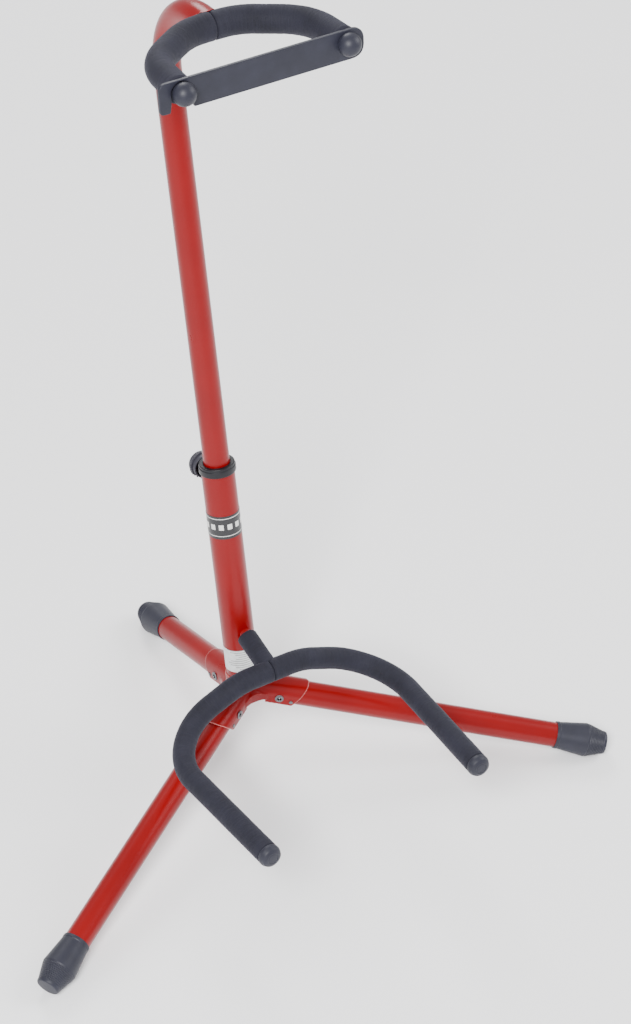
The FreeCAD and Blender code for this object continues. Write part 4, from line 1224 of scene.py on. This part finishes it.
class STAND_OT_studio(bpy.types.Operator):
    """Set the pale floor, the soft lights and the camera"""

    bl_idname = "guitar_stand.studio"
    bl_label = "Studio"

    def execute(self, context):
        scene = context.scene
        bm = bmesh.new()
        bmesh.ops.create_grid(bm, x_segments=1, y_segments=1, size=6.0)
        floor = bpy.data.objects.new("studio_floor", mesh_of("studio_floor", bm, False))
        scene.collection.objects.link(floor)
        material, t, shader = new_material("studio_paper")
        t.wire(tuple(colours().floor) + (1,), shader.inputs["Base Color"])
        shader.inputs["Roughness"].default_value = 0.9
        shader.inputs["Specular IOR Level"].default_value = 0.1
        floor.data.materials.append(material)
        floor.location = (0, 0, -0.0002)

        world = bpy.data.worlds.new("studio_air")
        scene.world = world
        world.use_nodes = True
        air = world.node_tree.nodes["Background"]
        air.inputs["Color"].default_value = (1.0, 1.0, 1.0, 1)
        air.inputs["Strength"].default_value = 0.8

        for name, spot, width, power in (
            ("key_softbox", (-1.5, -1.5, 2.4), 1.1, 150.0),
            ("fill_softbox", (2.2, -0.6, 1.7), 1.6, 50.0),
            ("rim_softbox", (0.6, 2.2, 2.0), 1.2, 45.0),
        ):
            lamp = bpy.data.lights.new(name, "AREA")
            lamp.shape = "DISK"
            lamp.size = width
            lamp.energy = power
            light = bpy.data.objects.new(name, lamp)
            scene.collection.objects.link(light)
            light.location = spot
            aim = Vector((0, 0, 0.3)) - Vector(spot)
            light.rotation_euler = aim.to_track_quat("-Z", "Y").to_euler()

        view = bpy.data.cameras.new("studio_camera")
        view.lens = CAMERA_LENS
        view.sensor_width = 36.0
        view.clip_start = 0.05
        view.clip_end = 30.0
        camera = bpy.data.objects.new("studio_camera", view)
        scene.collection.objects.link(camera)
        camera.matrix_world = camera_place()
        scene.camera = camera
        return {"FINISHED"}


# ---------------------------------------------------------------- add-on

STEPS = (
    STAND_OT_frame_finishes,
    STAND_OT_hub,
    STAND_OT_rivets,
    STAND_OT_tubes,
    STAND_OT_feet,
    STAND_OT_neck_foams,
    STAND_OT_cradle_foams,
    STAND_OT_cradle_caps,
    STAND_OT_neck_knobs,
    STAND_OT_latch,
    STAND_OT_clamp_knob,
    STAND_OT_studio,
)
GROUPS = {
    "stand_tubes": StandTubeSizes,
    "stand_pads": StandPadSizes,
    "stand_hardware": StandHardwareSizes,
    "stand_colours": StandColours,
}


class STAND_PT_sidebar(bpy.types.Panel):
    """Lists the steps that dress the stand, and its colours"""

    bl_label = "Guitar Stand"
    bl_idname = "STAND_PT_sidebar"
    bl_space_type = "VIEW_3D"
    bl_region_type = "UI"
    bl_category = "Guitar Stand"

    def draw(self, context):
        steps = self.layout.column(align=True)
        for step in STEPS:
            steps.operator(step.bl_idname)
        for group in GROUPS:
            box = self.layout.box()
            settings = getattr(context.scene, group)
            for name in settings.bl_rna.properties.keys():
                if name not in ("rna_type", "name"):
                    box.prop(settings, name)


def register():
    for group in GROUPS.values():
        bpy.utils.register_class(group)
    for step in STEPS:
        bpy.utils.register_class(step)
    bpy.utils.register_class(STAND_PT_sidebar)
    for name, group in GROUPS.items():
        setattr(bpy.types.Scene, name, PointerProperty(type=group))


def unregister():
    for name in GROUPS:
        delattr(bpy.types.Scene, name)
    bpy.utils.unregister_class(STAND_PT_sidebar)
    for item in reversed(STEPS + tuple(GROUPS.values())):
        bpy.utils.unregister_class(item)


def main():
    register()
    for step in STEPS:
        group, name = step.bl_idname.split(".")
        getattr(getattr(bpy.ops, group), name)()


if __name__ == "__main__":
    main()
